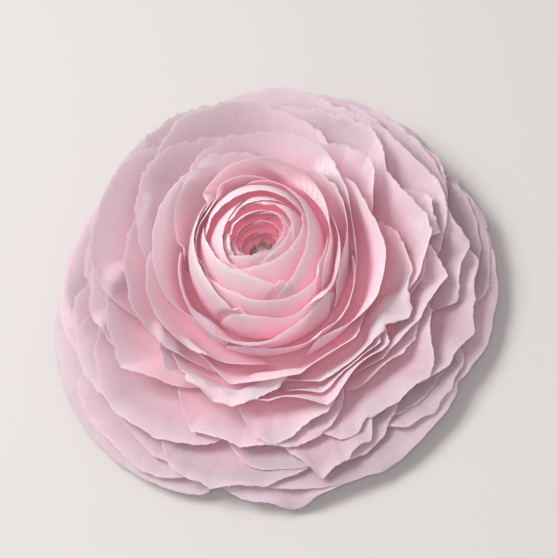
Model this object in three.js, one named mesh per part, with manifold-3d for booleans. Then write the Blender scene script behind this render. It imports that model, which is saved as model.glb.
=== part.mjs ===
import * as THREE from "three";
import { mergeVertices } from "three/addons/utils/BufferGeometryUtils.js";
import Module from "manifold-3d";

// Ranunculus flower: one open, many-petalled bloom, cut under the calyx and lying face up.
// Millimetres, +Z up. The resting plane is z = 0, with the middle of the outline over the origin.
// The side towards the viewer of the photograph is -Y.

// Driving dimensions, mm

// Full width of the open bloom across its outermost petals.
const BLOOM_WIDTH = 90;
// The bloom that the numbers in STATIONS make by themselves is this wide.
const DRAWN_WIDTH = 87.19;
const SCALE = BLOOM_WIDTH / DRAWN_WIDTH;

const PETALS = 62;
const PETAL_THICKNESS = 0.6;
const GOLDEN_ANGLE = THREE.MathUtils.degToRad(137.5077);
const SEED = 7;
// Clear space kept between one petal and the next one outside it, face to face.
const LAYER_GAP = 0.4;

// The heart stands this far towards +X and +Y at its top, as a bloom does on a bent stem.
const HEART_LEAN = [1.8, 0.4];
const HEART_HEIGHT = 26;
// The bend starts at this height, so that the base stays even.
const BEND_START = 6;
// The rims on the far side stand higher than those on the viewer's side by this slope.
const BACK_RISE = 0.24;

// How far out along a petal the solid heart of the bloom reaches.
const CORE_REACH = 0.53;
const ROOT_DEPTH = 2.2;
const WELL_RADIUS = 2.4;
// How far the well's floor lies under the roots of the innermost petals.
const WELL_DEPTH = 1.6;

const EYE_RADIUS = 2.0;
const EYE_HEIGHT = 7.4;
const CARPELS = 16;
const ANTHERS = 9;
const STEM_RADIUS = 2.6;
const SEPALS = 5;
const SEPAL_THICKNESS = 0.8;
const SEPAL_LENGTH = 7.4;
const SEPAL_WIDTH = 7.6;
// Clear space between two touching pieces.
const GAP = 0.3;
// Height of the sepals and of the cut stem over the resting plane, at the least.
const REST_CLEAR = 0.5;
// How deep the bellies of the three lowest petals are flattened.
const FLAT_DEPTH = 0.14;
// The bloom's solid root stands this far below the roots of the guard petals.
const ROOT_PAD = 0.6;

// The petals are numbered from the heart outwards, and the number is also a level: the family
// of nested shells that the petals lie on. Each row is one level of it. A petal's lengthwise
// curve runs from its root past its belly and its shoulder to its rim, as a cubic curve.
// Columns: level, root r and z, belly r and z, shoulder r and z, rim r and z, half width.
const STATIONS = [
  [0, 2.9, 14.0, 3.5, 15.5, 4.1, 19.4, 2.8, 23.4, 4.6],
  [3, 3.1, 13.6, 5.5, 13.0, 6.6, 22.8, 3.9, 26.4, 7.8],
  [7, 3.4, 13.2, 8.7, 11.0, 9.6, 25.0, 5.8, 28.4, 11.5],
  [10, 3.8, 12.9, 11.0, 9.4, 11.8, 24.6, 8.0, 28.2, 14.5],
  [14, 4.2, 12.6, 12.8, 8.2, 14.0, 21.8, 11.4, 27.0, 17.5],
  [19, 4.6, 12.3, 14.2, 6.4, 16.8, 17.4, 15.8, 25.0, 19.0],
  [27, 5.0, 12.0, 15.8, 4.0, 21.4, 12.8, 23.2, 22.2, 20.0],
  [36, 5.3, 11.8, 17.0, 1.6, 26.2, 10.4, 30.2, 19.0, 21.5],
  [45, 5.6, 11.6, 18.2, -0.6, 31.0, 9.2, 36.2, 15.2, 24.0],
  [54, 5.8, 11.4, 19.4, -2.8, 36.0, 8.0, 41.4, 10.6, 26.5],
  [58, 5.9, 11.3, 20.0, -3.8, 38.0, 7.4, 43.0, 7.8, 28.0],
  [62, 6.0, 11.2, 20.6, -4.8, 39.8, 7.0, 44.4, 5.0, 29.5],
];
const HALF_WIDTH = 9;
// How far a petal's free end rolls, folds, cups and turns out, in levels.
const ROLL = 0.7;
const FOLD = 0.5;
const CUP = 4.0;
const CURL = 1.0;
// How much one petal differs from the next in width and in length, as shares.
const WIDTH_SPREAD = 0.16;
const REACH_SPREAD = 0.03;
const LAST_LEVEL = STATIONS[STATIONS.length - 1][0];

const clamp = THREE.MathUtils.clamp;
const smooth = (from, to, x) => THREE.MathUtils.smoothstep(x, from, to);

// A repeatable stream of draws for one petal.
class Draws {
  constructor(seed) {
    this.state = seed >>> 0;
  }

  next() {
    this.state = (this.state + 0x6d2b79f5) >>> 0;
    let t = this.state;
    t = Math.imul(t ^ (t >>> 15), t | 1);
    t ^= t + Math.imul(t ^ (t >>> 7), t | 61);
    return ((t ^ (t >>> 14)) >>> 0) / 4294967296;
  }

  between(low, high) {
    return low + (high - low) * this.next();
  }

  normal() {
    return (this.next() + this.next() + this.next() + this.next() - 2) * Math.sqrt(3);
  }
}

// A smooth irregular wave over a petal, as a sum of a few tilted sines.
class Waves {
  constructor(draws, count, low, high) {
    this.terms = [];
    for (let i = 0; i < count; i++) {
      const sign = draws.next() < 0.5 ? -1 : 1;
      this.terms.push({
        across: sign * draws.between(low, high),
        along: draws.between(-high, high) * 0.6,
        phase: draws.between(0, 2 * Math.PI),
        size: draws.normal(),
      });
    }
    this.norm = 1.2 / Math.hypot(1e-6, ...this.terms.map((t) => t.size));
  }

  at(x, y) {
    let sum = 0;
    for (const t of this.terms) sum += t.size * Math.sin(x * t.across + y * t.along + t.phase);
    return sum * this.norm;
  }
}

// The slope of a station column at row i.
function stationSlope(column, i) {
  const a = STATIONS[Math.max(i - 1, 0)];
  const b = STATIONS[Math.min(i + 1, STATIONS.length - 1)];
  return (b[column] - a[column]) / (b[0] - a[0]);
}

// A station value at any level, on a smooth curve through the rows.
function station(column, level) {
  const x = clamp(level, 0, LAST_LEVEL);
  let i = 0;
  while (i < STATIONS.length - 2 && x >= STATIONS[i + 1][0]) i++;
  const span = STATIONS[i + 1][0] - STATIONS[i][0];
  const t = (x - STATIONS[i][0]) / span;
  const value =
    (2 * t ** 3 - 3 * t ** 2 + 1) * STATIONS[i][column] +
    (t ** 3 - 2 * t ** 2 + t) * span * stationSlope(column, i) +
    (-2 * t ** 3 + 3 * t ** 2) * STATIONS[i + 1][column] +
    (t ** 3 - t ** 2) * span * stationSlope(column, i + 1);
  return value * SCALE;
}

// A point (r, z) of the shell of this level, at the share s of the petal's length.
function shell(level, s) {
  if (level > LAST_LEVEL || level < 0) {
    const edge = level < 0 ? 0 : LAST_LEVEL;
    const inner = level < 0 ? 0.4 : LAST_LEVEL - 0.4;
    const a = shell(edge, s);
    const b = shell(inner, s);
    const f = (level - edge) / (edge - inner);
    return [a[0] + (a[0] - b[0]) * f, a[1] + (a[1] - b[1]) * f];
  }
  const q = Math.min(s, 1);
  const past = Math.max(s - 1, 0) * 3;
  return [0, 1].map((axis) => {
    const [root, belly, shoulder, rim] = [1, 3, 5, 7].map((c) => station(c + axis, level));
    return (
      (1 - q) ** 3 * root +
      3 * (1 - q) ** 2 * q * belly +
      3 * (1 - q) * q * q * shoulder +
      q ** 3 * rim +
      past * (rim - shoulder)
    );
  });
}

// The length of a shell's curve and the distance between shells one level apart, mm.
function shellLength(level) {
  let sum = 0;
  for (let i = 0; i < 16; i++) {
    const a = shell(level, i / 16);
    const b = shell(level, (i + 1) / 16);
    sum += Math.hypot(b[0] - a[0], b[1] - a[1]);
  }
  return sum;
}

function levelSpacing(level, s) {
  const a = shell(level, s - 0.01);
  const b = shell(level, s + 0.01);
  const c = shell(level - 0.5, s);
  const d = shell(level + 0.5, s);
  const along = Math.hypot(b[0] - a[0], b[1] - a[1]);
  return Math.abs((d[0] - c[0]) * (b[1] - a[1]) - (d[1] - c[1]) * (b[0] - a[0])) / along;
}

// One petal: where it stands round the stem, how wide and long it is, and how it waves.
class Petal {
  constructor(number) {
    const draws = new Draws(SEED * 1000 + number);
    this.number = number;
    this.level = number + 0.5 + draws.between(-0.3, 0.3);
    this.angle = number * GOLDEN_ANGLE + THREE.MathUtils.degToRad(4) * draws.normal();
    const width = station(HALF_WIDTH, this.level) * (1 + WIDTH_SPREAD * draws.normal());
    const radii = Array.from({ length: 12 }, (_, i) => shell(this.level, 0.35 + (0.65 * i) / 11)[0]);
    this.radius = Math.max(...radii, 3 * SCALE);
    this.length = shellLength(this.level);
    this.halfAngle = Math.min(width / this.radius, THREE.MathUtils.degToRad(100));
    this.reach = 1 + REACH_SPREAD * draws.normal() * (0.4 + smooth(7, 18, this.level));
    const guard = smooth(36, 58, this.level);
    this.corner = 0.42 + 0.03 * draws.normal() - 0.06 * guard;
    this.power = 2.6 + 0.9 * guard;
    this.tilt = draws.normal();
    this.loose = smooth(11, 20, this.level) * (1 - 0.35 * smooth(44, 60, this.level));
    this.roll = new Waves(draws, 3, 0.8, 2.0);
    this.fold = new Waves(draws, 4, 2.0, 4.5);
    this.edge = new Waves(draws, 4, 2.5, 7);
  }

  // How far the petal reaches along its shell, at the share u of its half width.
  outline(u) {
    const a = Math.min(Math.abs(u), 1);
    const round = 1 - this.corner * (1 - Math.sqrt(1 - a ** this.power));
    return this.reach * round + 0.012 * this.edge.at(u, 0) * (0.4 + this.loose);
  }

  // A petal is narrow at its claw and reaches its full width past the middle.
  narrowing(s) {
    return 0.26 + 0.74 * smooth(0, 0.62, s);
  }

  // Where an angle round the stem lies on the petal, as a share of its half width there.
  across(angle, s) {
    const turn = 2 * Math.PI;
    const off = ((((angle - this.angle + Math.PI) % turn) + turn) % turn) - Math.PI;
    return off / (this.halfAngle * this.narrowing(s));
  }

  // The level the petal would take by itself: one side lies under its neighbour, the other
  // over it, and its free end tilts, rolls and folds. Its sides cup inwards and its rim turns out.
  wantedLevel(u, s) {
    const free = smooth(0.5, 1, s);
    const waves = ROLL * this.roll.at(u, s) + FOLD * this.fold.at(u, s) + this.tilt;
    const cup = CUP * free * (u * u - 0.3);
    const curl = CURL * smooth(0.8, 1.05, s);
    return (
      this.level +
      0.6 * u * (0.5 + 0.5 * free) +
      free * (this.loose + 0.15) * waves +
      this.loose * (curl - cup)
    );
  }
}

// A grid over (angle round the stem, share of petal length) that holds one level in each cell.
const ANGLES = 240;
const STEPS = 44;
const MOST_SHARE = 1.25;
const cellAngle = (i) => (i * 2 * Math.PI) / ANGLES;
const cellShare = (j) => (j * MOST_SHARE) / (STEPS - 1);
const cellAt = (i, j) => (((i % ANGLES) + ANGLES) % ANGLES) * STEPS + clamp(j, 0, STEPS - 1);

function mapGrid(rule) {
  const made = new Float64Array(ANGLES * STEPS);
  for (let i = 0; i < ANGLES; i++) for (let j = 0; j < STEPS; j++) made[cellAt(i, j)] = rule(i, j);
  return made;
}

// The lowest level within this many cells on either side, first round the stem, then along.
function lowestNear(grid, angles, steps) {
  const round = mapGrid((i, j) => {
    let least = Infinity;
    for (let a = -angles; a <= angles; a++) least = Math.min(least, grid[cellAt(i + a, j)]);
    return least;
  });
  return mapGrid((i, j) => {
    let least = Infinity;
    for (let b = -steps; b <= steps; b++) least = Math.min(least, round[cellAt(i, j + b)]);
    return least;
  });
}

// The grid with its steps evened out over this many cells round the stem.
function evened(grid, angles) {
  return mapGrid((i, j) => {
    let sum = 0;
    for (let a = -angles; a <= angles; a++) sum += grid[cellAt(i + a, j)];
    return sum / (2 * angles + 1);
  });
}

// The lower of two levels, without a crease where they meet.
function softLower(a, b) {
  const soft = 0.35;
  const low = Math.min(a, b);
  return low - soft * Math.log(Math.exp((low - a) / soft) + Math.exp((low - b) / soft));
}

// Lays the petals from the outermost in. Each takes its wanted level, but keeps clear of the
// petals outside it, so they nest without crossing.
function layPetals(petals) {
  let laid = mapGrid(() => LAST_LEVEL + 6);
  for (const petal of [...petals].reverse()) {
    const width = clamp(Math.round((1.6 / petal.radius) * (ANGLES / (2 * Math.PI))), 1, 8);
    const ceiling = evened(lowestNear(laid, width, 1), Math.max(1, Math.round(width / 2)));
    const spacing = Array.from({ length: STEPS }, (_, j) =>
      Math.max(levelSpacing(petal.level, Math.max(cellShare(j), 0.02)), 0.12),
    );
    petal.levels = mapGrid((i, j) => {
      const u = clamp(petal.across(cellAngle(i), cellShare(j)), -1.2, 1.2);
      const space = Math.min((PETAL_THICKNESS + LAYER_GAP) / spacing[j], 2.4);
      return softLower(petal.wantedLevel(u, cellShare(j)), ceiling[cellAt(i, j)] - space);
    });
    laid = mapGrid((i, j) => {
      const u = petal.across(cellAngle(i), cellShare(j));
      const covered = Math.abs(u) <= 1 && cellShare(j) <= petal.outline(u) + 0.01;
      const at = cellAt(i, j);
      return covered ? Math.min(laid[at], petal.levels[at]) : laid[at];
    });
  }
}

// Reads a petal's laid level between the grid's cells.
function laidLevel(levels, angle, s) {
  const x = (((angle / (2 * Math.PI)) % 1) + 1) * ANGLES;
  const y = clamp((s / MOST_SHARE) * (STEPS - 1), 0, STEPS - 1.001);
  const i = Math.floor(x);
  const j = Math.floor(y);
  const row = (k) => levels[cellAt(k, j)] * (1 - (y - j)) + levels[cellAt(k, j + 1)] * (y - j);
  return row(i) * (1 - (x - i)) + row(i + 1) * (x - i);
}

// The bend of the whole bloom above its base: the heart leans and the far rims stand higher.
function bent(x, y, z) {
  const height = Math.max(z / SCALE - BEND_START, 0) / (HEART_HEIGHT - BEND_START);
  const lean = SCALE * height ** 1.2;
  const rise = BACK_RISE * y * height * 1.4;
  return new THREE.Vector3(x + HEART_LEAN[0] * lean, y + HEART_LEAN[1] * lean, z + rise);
}

// The middle surface of a petal as rows of bent points, from its root to its rim.
function petalSurface(petal) {
  const guard = petal.level > LAST_LEVEL - 4.5;
  const columns = 5;
  const rows = guard ? 5 : petal.level < 12 ? 4 : 3;
  const start = guard ? 0.02 : CORE_REACH - ROOT_DEPTH / petal.length;
  return Array.from({ length: rows + 1 }, (_, i) =>
    Array.from({ length: columns + 1 }, (_, j) => {
      const u = Math.sin((2 * j / columns - 1) * 1.3) / Math.sin(1.3);
      const s = start + (petal.outline(u) - start) * (i / rows);
      const angle = petal.angle + petal.halfAngle * u * petal.narrowing(s);
      const [r, z] = shell(laidLevel(petal.levels, angle, s), s);
      return bent(r * Math.cos(angle), r * Math.sin(angle), z);
    }),
  );
}

// The normal at a point of a petal's surface, towards the axis of the bloom.
function normalAt(points, i, j) {
  const last = points.length - 1;
  const side = points[0].length - 1;
  const along = points[Math.min(i + 1, last)][j].clone().sub(points[Math.max(i - 1, 0)][j]);
  const across = points[i][Math.min(j + 1, side)].clone().sub(points[i][Math.max(j - 1, 0)]);
  return along.cross(across).normalize();
}

// The two faces of a blade of this thickness about a grid of points.
function bladeFaces(points, thickness) {
  const half = (side) => (row, i) =>
    row.map((p, j) => p.clone().addScaledVector(normalAt(points, i, j), (side * thickness) / 2));
  return { inner: points.map(half(1)), outer: points.map(half(-1)) };
}

// A closed blade from its two faces, both split into triangles alike.
function bladeTriangles(rows, columns) {
  const at = (face, i, j) => face * (rows + 1) * (columns + 1) + i * (columns + 1) + j;
  const out = [];
  const quad = (a, b, c, d) => out.push(a, b, c, a, c, d);
  for (let i = 0; i < rows; i++)
    for (let j = 0; j < columns; j++) {
      quad(at(0, i, j), at(0, i, j + 1), at(0, i + 1, j + 1), at(0, i + 1, j));
      out.push(at(1, i, j), at(1, i + 1, j + 1), at(1, i, j + 1));
      out.push(at(1, i, j), at(1, i + 1, j), at(1, i + 1, j + 1));
    }
  for (let j = 0; j < columns; j++) {
    quad(at(0, 0, j), at(1, 0, j), at(1, 0, j + 1), at(0, 0, j + 1));
    quad(at(0, rows, j), at(0, rows, j + 1), at(1, rows, j + 1), at(1, rows, j));
  }
  for (let i = 0; i < rows; i++) {
    quad(at(0, i, 0), at(0, i + 1, 0), at(1, i + 1, 0), at(1, i, 0));
    quad(at(0, i, columns), at(1, i, columns), at(1, i + 1, columns), at(0, i + 1, columns));
  }
  return out;
}

const wasm = await Module();
wasm.setup();

// A solid from points and triangles, turned face out where it came out reversed.
function solid(points, triangles) {
  const make = (order) =>
    new wasm.Manifold(
      new wasm.Mesh({
        numProp: 3,
        vertProperties: new Float32Array(points.flatMap((p) => [p.x, p.y, p.z])),
        triVerts: new Uint32Array(order),
      }),
    );
  const made = make(triangles);
  return made.volume() < 0 ? make([...triangles].reverse()) : made;
}

function bladeSolid({ inner, outer }) {
  const triangles = bladeTriangles(inner.length - 1, inner[0].length - 1);
  return solid([...inner.flat(), ...outer.flat()], triangles);
}

// A solid of revolution about the stem axis, then bent and lowered. The profile runs from the
// axis round to the axis again, as points (r, z).
function revolved(profile, segments, drop) {
  const points = [];
  const rings = profile.map(([r, z]) => {
    const count = r < 1e-6 ? 1 : segments;
    return Array.from({ length: segments }, (_, k) => {
      if (k >= count) return points.length - 1;
      const angle = (k * 2 * Math.PI) / segments;
      points.push(bent(r * Math.cos(angle), r * Math.sin(angle), z));
      return points.length - 1;
    });
  });
  const triangles = [];
  for (let i = 0; i + 1 < rings.length; i++)
    for (let k = 0; k < segments; k++) {
      const [a, b] = [rings[i][k], rings[i][(k + 1) % segments]];
      const [c, d] = [rings[i + 1][k], rings[i + 1][(k + 1) % segments]];
      if (a !== b) triangles.push(a, c, b);
      if (c !== d) triangles.push(b, c, d);
    }
  for (const p of points) p.z -= drop;
  return solid(points, triangles);
}

// Joins solids in pairs, so that no join grows too large too soon.
function joined(solids) {
  let left = solids;
  while (left.length > 1) {
    const next = [];
    for (let i = 0; i < left.length; i += 2)
      next.push(i + 1 < left.length ? left[i].add(left[i + 1]) : left[i]);
    left = next;
  }
  return filled(left[0]);
}

// The outer body of a solid: the pockets that the joined pieces close in are filled.
function filled(manifold) {
  let bodies = merged(manifold).decompose();
  for (let pass = 0; pass < 8; pass++) {
    const outer = bodies.reduce((most, body) => (body.volume() > most.volume() ? body : most));
    bodies = merged(outer).decompose();
    if (bodies.length === 1) break;
  }
  return bodies[0];
}

// The same solid with corners that nearly touch made one.
function merged(manifold) {
  const { vertProperties, triVerts } = manifold.getMesh();
  const geometry = new THREE.BufferGeometry();
  geometry.setAttribute("position", new THREE.BufferAttribute(new Float32Array(vertProperties), 3));
  geometry.setIndex(new THREE.BufferAttribute(new Uint32Array(triVerts), 1));
  const welded = mergeVertices(geometry.toNonIndexed(), 1e-3);
  return new wasm.Manifold(
    new wasm.Mesh({
      numProp: 3,
      vertProperties: welded.attributes.position.array,
      triVerts: new Uint32Array(welded.index.array),
    }),
  );
}

const lowestOf = (points) => Math.min(...points.flat().map((p) => p.z));

// Sets the bloom down: the three lowest guard petals sag to one height at their bellies, and
// the height to take off everything leaves them just under the resting plane.
function setDown(blades) {
  const lowest = [...blades].sort((a, b) => lowestOf(a.outer) - lowestOf(b.outer)).slice(0, 3);
  const rest = lowestOf(lowest[0].outer) - 0.05;
  for (const { inner, outer } of lowest) {
    const rows = outer.length - 1;
    const share = (i) => Math.sin(Math.PI * clamp((i / rows - 0.15) / 0.6, 0, 1));
    const row = outer.findIndex((points) => lowestOf([points]) === lowestOf(outer));
    const sag = (lowestOf(outer) - rest) / share(row);
    for (const face of [inner, outer])
      face.forEach((points, i) => points.forEach((p) => (p.z -= sag * share(i))));
  }
  return rest + FLAT_DEPTH;
}

// A blade lowered by this height.
function lowered(faces, drop) {
  for (const p of [...faces.inner.flat(), ...faces.outer.flat()]) p.z -= drop;
  return faces;
}

// The space under the resting plane, which is cut away to leave the flat resting spots.
function underground() {
  const r = BLOOM_WIDTH;
  return revolved([[0, 0], [r, 0], [r, -r / 9], [0, -r / 9]], 16, 0);
}

// The solid heart that every petal stands out of, with a well for the eye.
function coreSolid(drop) {
  const wellTop = shell(0, CORE_REACH);
  const wellFloor = shell(0, 0)[1] - WELL_DEPTH * SCALE;
  const profile = [
    [0, wellFloor],
    [WELL_RADIUS * SCALE, wellFloor],
    [WELL_RADIUS * SCALE, wellTop[1]],
  ];
  for (const level of [4, 12, 24, 40, 58]) profile.push(shell(level, CORE_REACH));
  const under = LAST_LEVEL - 4;
  for (const s of [0.4, 0.25, 0.1]) profile.push(shell(under, s));
  for (const s of [0.05, 0]) {
    const [r, z] = shell(LAST_LEVEL + 1.5, s);
    profile.push([r, z - ROOT_PAD]);
  }
  profile.push([0, shell(LAST_LEVEL + 1.5, 0)[1] - ROOT_PAD]);
  return revolved(profile, 12, drop);
}

// A small pointed bead, as a stretched octahedron, standing along a direction.
function bead(centre, direction, radius, length) {
  const up = direction.clone().normalize();
  const side = new THREE.Vector3(up.y, -up.x, 0.01).normalize();
  const other = up.clone().cross(side);
  const points = [side, other, side.clone().negate(), other.clone().negate()].map((v) =>
    centre.clone().addScaledVector(v, radius),
  );
  points.push(centre.clone().addScaledVector(up, length), centre.clone().addScaledVector(up, -length));
  const triangles = [];
  for (let k = 0; k < 4; k++) triangles.push(k, (k + 1) % 4, 4, (k + 1) % 4, k, 5);
  return solid(points, triangles);
}

// The carpel head with its beaked carpels, and the ring of anthers round its foot.
function eyeSolid(drop) {
  const foot = shell(0, 0)[1] - WELL_DEPTH * SCALE + GAP;
  const top = foot + EYE_HEIGHT * SCALE;
  const r = EYE_RADIUS * SCALE;
  const profile = [[0, foot], [r * 0.8, foot], [r * 0.75, foot + 4 * SCALE], [r * 0.6, top - 1]];
  const parts = [revolved([...profile, [r * 0.3, top - 0.2], [0, top]], 14, drop)];
  const placed = (radius, angle, z) =>
    bent(radius * Math.cos(angle), radius * Math.sin(angle), z).sub(new THREE.Vector3(0, 0, drop));
  for (let k = 0; k < CARPELS; k++) {
    const angle = k * GOLDEN_ANGLE;
    const share = k / (CARPELS - 1);
    const out = new THREE.Vector3(Math.cos(angle) * share, Math.sin(angle) * share, 1.1);
    parts.push(bead(placed(r * 0.55 * Math.sqrt(share), angle, top - 0.2 - 1.1 * share), out, 0.42, 0.95));
  }
  for (let k = 0; k < ANTHERS; k++) {
    const angle = (k * 2 * Math.PI) / ANTHERS + 0.2;
    const out = new THREE.Vector3(Math.cos(angle) * 0.1, Math.sin(angle) * 0.1, 1);
    parts.push(bead(placed(r * 0.72, angle, foot + 4.4 * SCALE), out, 0.5, 1.5));
  }
  return joined(parts);
}

// The receptacle and the short cut stem, clear of the resting plane.
function stemSolid(drop) {
  const top = shell(LAST_LEVEL + 1.5, 0)[1] - ROOT_PAD - GAP;
  const cut = drop + 2 * REST_CLEAR;
  const r = STEM_RADIUS * SCALE;
  const side = [[r, top], [r, top - 1.4], [r * 0.92, cut + 0.3], [r * 0.8, cut]];
  return revolved([[0, top], ...side, [0, cut]], 20, drop);
}

// One sepal, lying close under the guard petals, from the collar outwards.
function sepalSurface(angle) {
  const rows = 4;
  const columns = 3;
  const clear = ROOT_PAD + GAP + SEPAL_THICKNESS / 2 + 0.2;
  return Array.from({ length: rows + 1 }, (_, i) =>
    Array.from({ length: columns + 1 }, (_, j) => {
      const t = i / rows;
      const u = (2 * j) / columns - 1;
      const s = 0.006 + (t * SEPAL_LENGTH * (1 - 0.25 * u * u * t)) / shellLength(LAST_LEVEL);
      const [r, z] = shell(LAST_LEVEL + 1.5, s);
      const [r2, z2] = shell(LAST_LEVEL + 1.5, s + 0.01);
      const steep = Math.hypot(r2 - r, z2 - z);
      const width = (SEPAL_WIDTH / 2) * SCALE * (0.62 + 0.38 * Math.sin(Math.PI * Math.min(t + 0.25, 1)));
      const radius = r + ((z2 - z) / steep) * clear;
      const turn = angle + (u * width) / Math.max(radius, 1);
      return bent(radius * Math.cos(turn), radius * Math.sin(turn), z - ((r2 - r) / steep) * clear);
    }),
  );
}

// The five sepals, joined by the thin collar they grow from.
function sepalsSolid(drop) {
  const top = shell(LAST_LEVEL + 1.5, 0)[1] - ROOT_PAD - GAP;
  const inside = STEM_RADIUS * SCALE + GAP;
  const outside = shell(LAST_LEVEL, 0)[0] + 0.6 * SCALE;
  const ring = revolved([[0, top], [outside - 1.6, top], [outside, top - 1.9], [0, top - 2.1]], 24, drop);
  const hole = revolved([[0, top + 2], [inside, top + 2], [inside, top - 4], [0, top - 4]], 24, drop);
  const blades = Array.from({ length: SEPALS }, (_, k) => {
    const faces = bladeFaces(sepalSurface(((k + 0.3) * 2 * Math.PI) / SEPALS), SEPAL_THICKNESS);
    for (const p of faces.outer.flat()) p.z = Math.max(p.z - drop, REST_CLEAR);
    for (const p of faces.inner.flat()) p.z = Math.max(p.z - drop, REST_CLEAR + SEPAL_THICKNESS);
    return bladeSolid(faces);
  });
  return joined([ring, ...blades]).subtract(hole);
}

// Materials

function petalMaterial() {
  return new THREE.MeshStandardMaterial({ color: 0xe2bcc8, roughness: 0.62, metalness: 0 });
}

function eyeMaterial() {
  return new THREE.MeshStandardMaterial({ color: 0x8c8f6a, roughness: 0.7, metalness: 0 });
}

function sepalMaterial() {
  return new THREE.MeshStandardMaterial({ color: 0x9fb283, roughness: 0.65, metalness: 0 });
}

function stemMaterial() {
  return new THREE.MeshStandardMaterial({ color: 0x7f9a5f, roughness: 0.6, metalness: 0 });
}

function namedMesh(name, manifold, material) {
  const { vertProperties, triVerts } = manifold.getMesh();
  const geometry = new THREE.BufferGeometry();
  geometry.setAttribute("position", new THREE.BufferAttribute(new Float32Array(vertProperties), 3));
  geometry.setIndex(new THREE.BufferAttribute(new Uint32Array(triVerts), 1));
  geometry.computeVertexNormals();
  const mesh = new THREE.Mesh(geometry, material);
  mesh.name = name;
  return mesh;
}

function buildBloom() {
  const petals = Array.from({ length: PETALS }, (_, k) => new Petal(k));
  layPetals(petals);
  const blades = petals.map((petal) => bladeFaces(petalSurface(petal), PETAL_THICKNESS));
  const drop = setDown(blades);
  const bloom = blades.map((faces) => bladeSolid(lowered(faces, drop)));
  const petalsBody = filled(joined([...bloom, coreSolid(drop)]).subtract(underground()));
  const group = new THREE.Group();
  group.name = "ranunculus_flower";
  group.add(
    namedMesh("petals", petalsBody, petalMaterial()),
    namedMesh("eye", eyeSolid(drop), eyeMaterial()),
    namedMesh("sepals", sepalsSolid(drop), sepalMaterial()),
    namedMesh("stem", stemSolid(drop), stemMaterial()),
  );
  centreOnOrigin(group);
  return group;
}

// Stands the middle of the bloom's outline over the origin.
function centreOnOrigin(group) {
  const middle = new THREE.Box3().setFromObject(group).getCenter(new THREE.Vector3());
  for (const mesh of group.children) mesh.position.set(-middle.x, -middle.y, 0);
}

export default buildBloom();
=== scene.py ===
"""A ranunculus bloom, dressed: fine petals, eye, sepals and cut stem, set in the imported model's frame.

The rule of the petals works in millimetres with +Z up. Every mesh is made in metres, in place.
"""

import logging
import math
from dataclasses import dataclass, field
from enum import Enum

import bmesh
import bpy
import numpy as np
from mathutils import Matrix, Quaternion, Vector


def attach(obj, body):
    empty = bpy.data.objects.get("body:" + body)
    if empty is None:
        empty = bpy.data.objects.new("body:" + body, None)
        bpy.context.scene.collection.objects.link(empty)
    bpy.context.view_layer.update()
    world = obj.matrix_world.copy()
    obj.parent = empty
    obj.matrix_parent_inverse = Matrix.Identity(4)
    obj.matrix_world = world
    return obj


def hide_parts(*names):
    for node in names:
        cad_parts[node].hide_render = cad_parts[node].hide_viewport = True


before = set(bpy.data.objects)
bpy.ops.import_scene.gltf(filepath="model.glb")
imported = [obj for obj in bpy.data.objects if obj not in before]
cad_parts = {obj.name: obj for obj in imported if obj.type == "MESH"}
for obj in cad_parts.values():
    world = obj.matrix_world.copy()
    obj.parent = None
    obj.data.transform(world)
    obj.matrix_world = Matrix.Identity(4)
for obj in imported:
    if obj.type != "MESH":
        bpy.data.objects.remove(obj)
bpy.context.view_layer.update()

LOG = logging.getLogger("ranunculus")
Colour = tuple[float, float, float, float]

MM = 0.001
# Points that lie this near one another are one, m.
MERGE = 1e-7

# The bloom as a whole, mm. The rows of STATIONS alone make a bloom of the drawn width.
BLOOM_WIDTH = 90.0
DRAWN_WIDTH = 87.19
SCALE = BLOOM_WIDTH / DRAWN_WIDTH
PETALS = 62
SEED = 7
GOLDEN_ANGLE = math.radians(137.5077)
TURN = 2 * math.pi

# The bloom is lowered by this much, and moved by this much, so that it rests over the origin.
DROP = 2.6326
SHIFT = (1.2794, 0.6171)
# Above the start of the bend the bloom leans right and back, by this much at the heart's height.
BEND_START = 6.0
HEART_HEIGHT = 26.0
HEART_LEAN = (1.8, 0.4)
LEAN_POWER = 1.2
# What lies at the back stands higher, by this slope at the heart's height and by less below it.
BACK_RISE = 0.336
# The top of the heart is squeezed from the near side and, less, from the far side, and steps nearer.
NEAR_SIDE = math.radians(-88)
NEAR_SQUEEZE = 0.42
FAR_SQUEEZE = 0.26
NEAR_STEP = 1.2
SQUEEZE_RADII = (13.0, 4.0)
SQUEEZE_HEIGHTS = (17.0, 25.0)
SQUEEZE_BLEND = 1.5

# Columns: level, root r and z, belly r and z, shoulder r and z, rim r and z, half width.
STATIONS = np.array([
    (0, 2.9, 14.0, 3.5, 15.5, 4.1, 19.4, 2.8, 23.4, 4.6),
    (3, 3.1, 13.6, 5.5, 13.0, 6.6, 22.8, 3.9, 26.4, 7.8),
    (7, 3.4, 13.2, 8.7, 11.0, 9.8, 25.2, 5.3, 28.6, 11.5),
    (10, 3.8, 12.9, 11.0, 9.4, 12.2, 25.2, 7.2, 28.6, 17.0),
    (14, 4.2, 12.6, 12.8, 8.2, 14.4, 22.4, 9.8, 27.8, 21.0),
    (19, 4.6, 12.3, 14.2, 6.4, 17.0, 17.6, 14.8, 25.6, 23.0),
    (27, 5.0, 12.0, 15.8, 4.0, 21.4, 12.8, 23.0, 22.2, 23.0),
    (36, 5.3, 11.8, 17.0, 1.6, 26.2, 10.4, 30.2, 19.0, 21.5),
    (45, 5.6, 11.6, 18.2, -0.6, 31.0, 9.2, 36.2, 15.2, 24.0),
    (54, 5.8, 11.4, 19.4, -2.8, 36.0, 8.0, 41.4, 10.6, 26.5),
    (58, 5.9, 11.3, 20.0, -3.8, 38.0, 7.4, 43.0, 7.8, 28.0),
    (62, 6.0, 11.2, 20.6, -4.8, 39.8, 7.0, 44.4, 5.0, 29.5),
])
ROOT, BELLY, SHOULDER, RIM, HALF_WIDTH = 1, 3, 5, 7, 9
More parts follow.
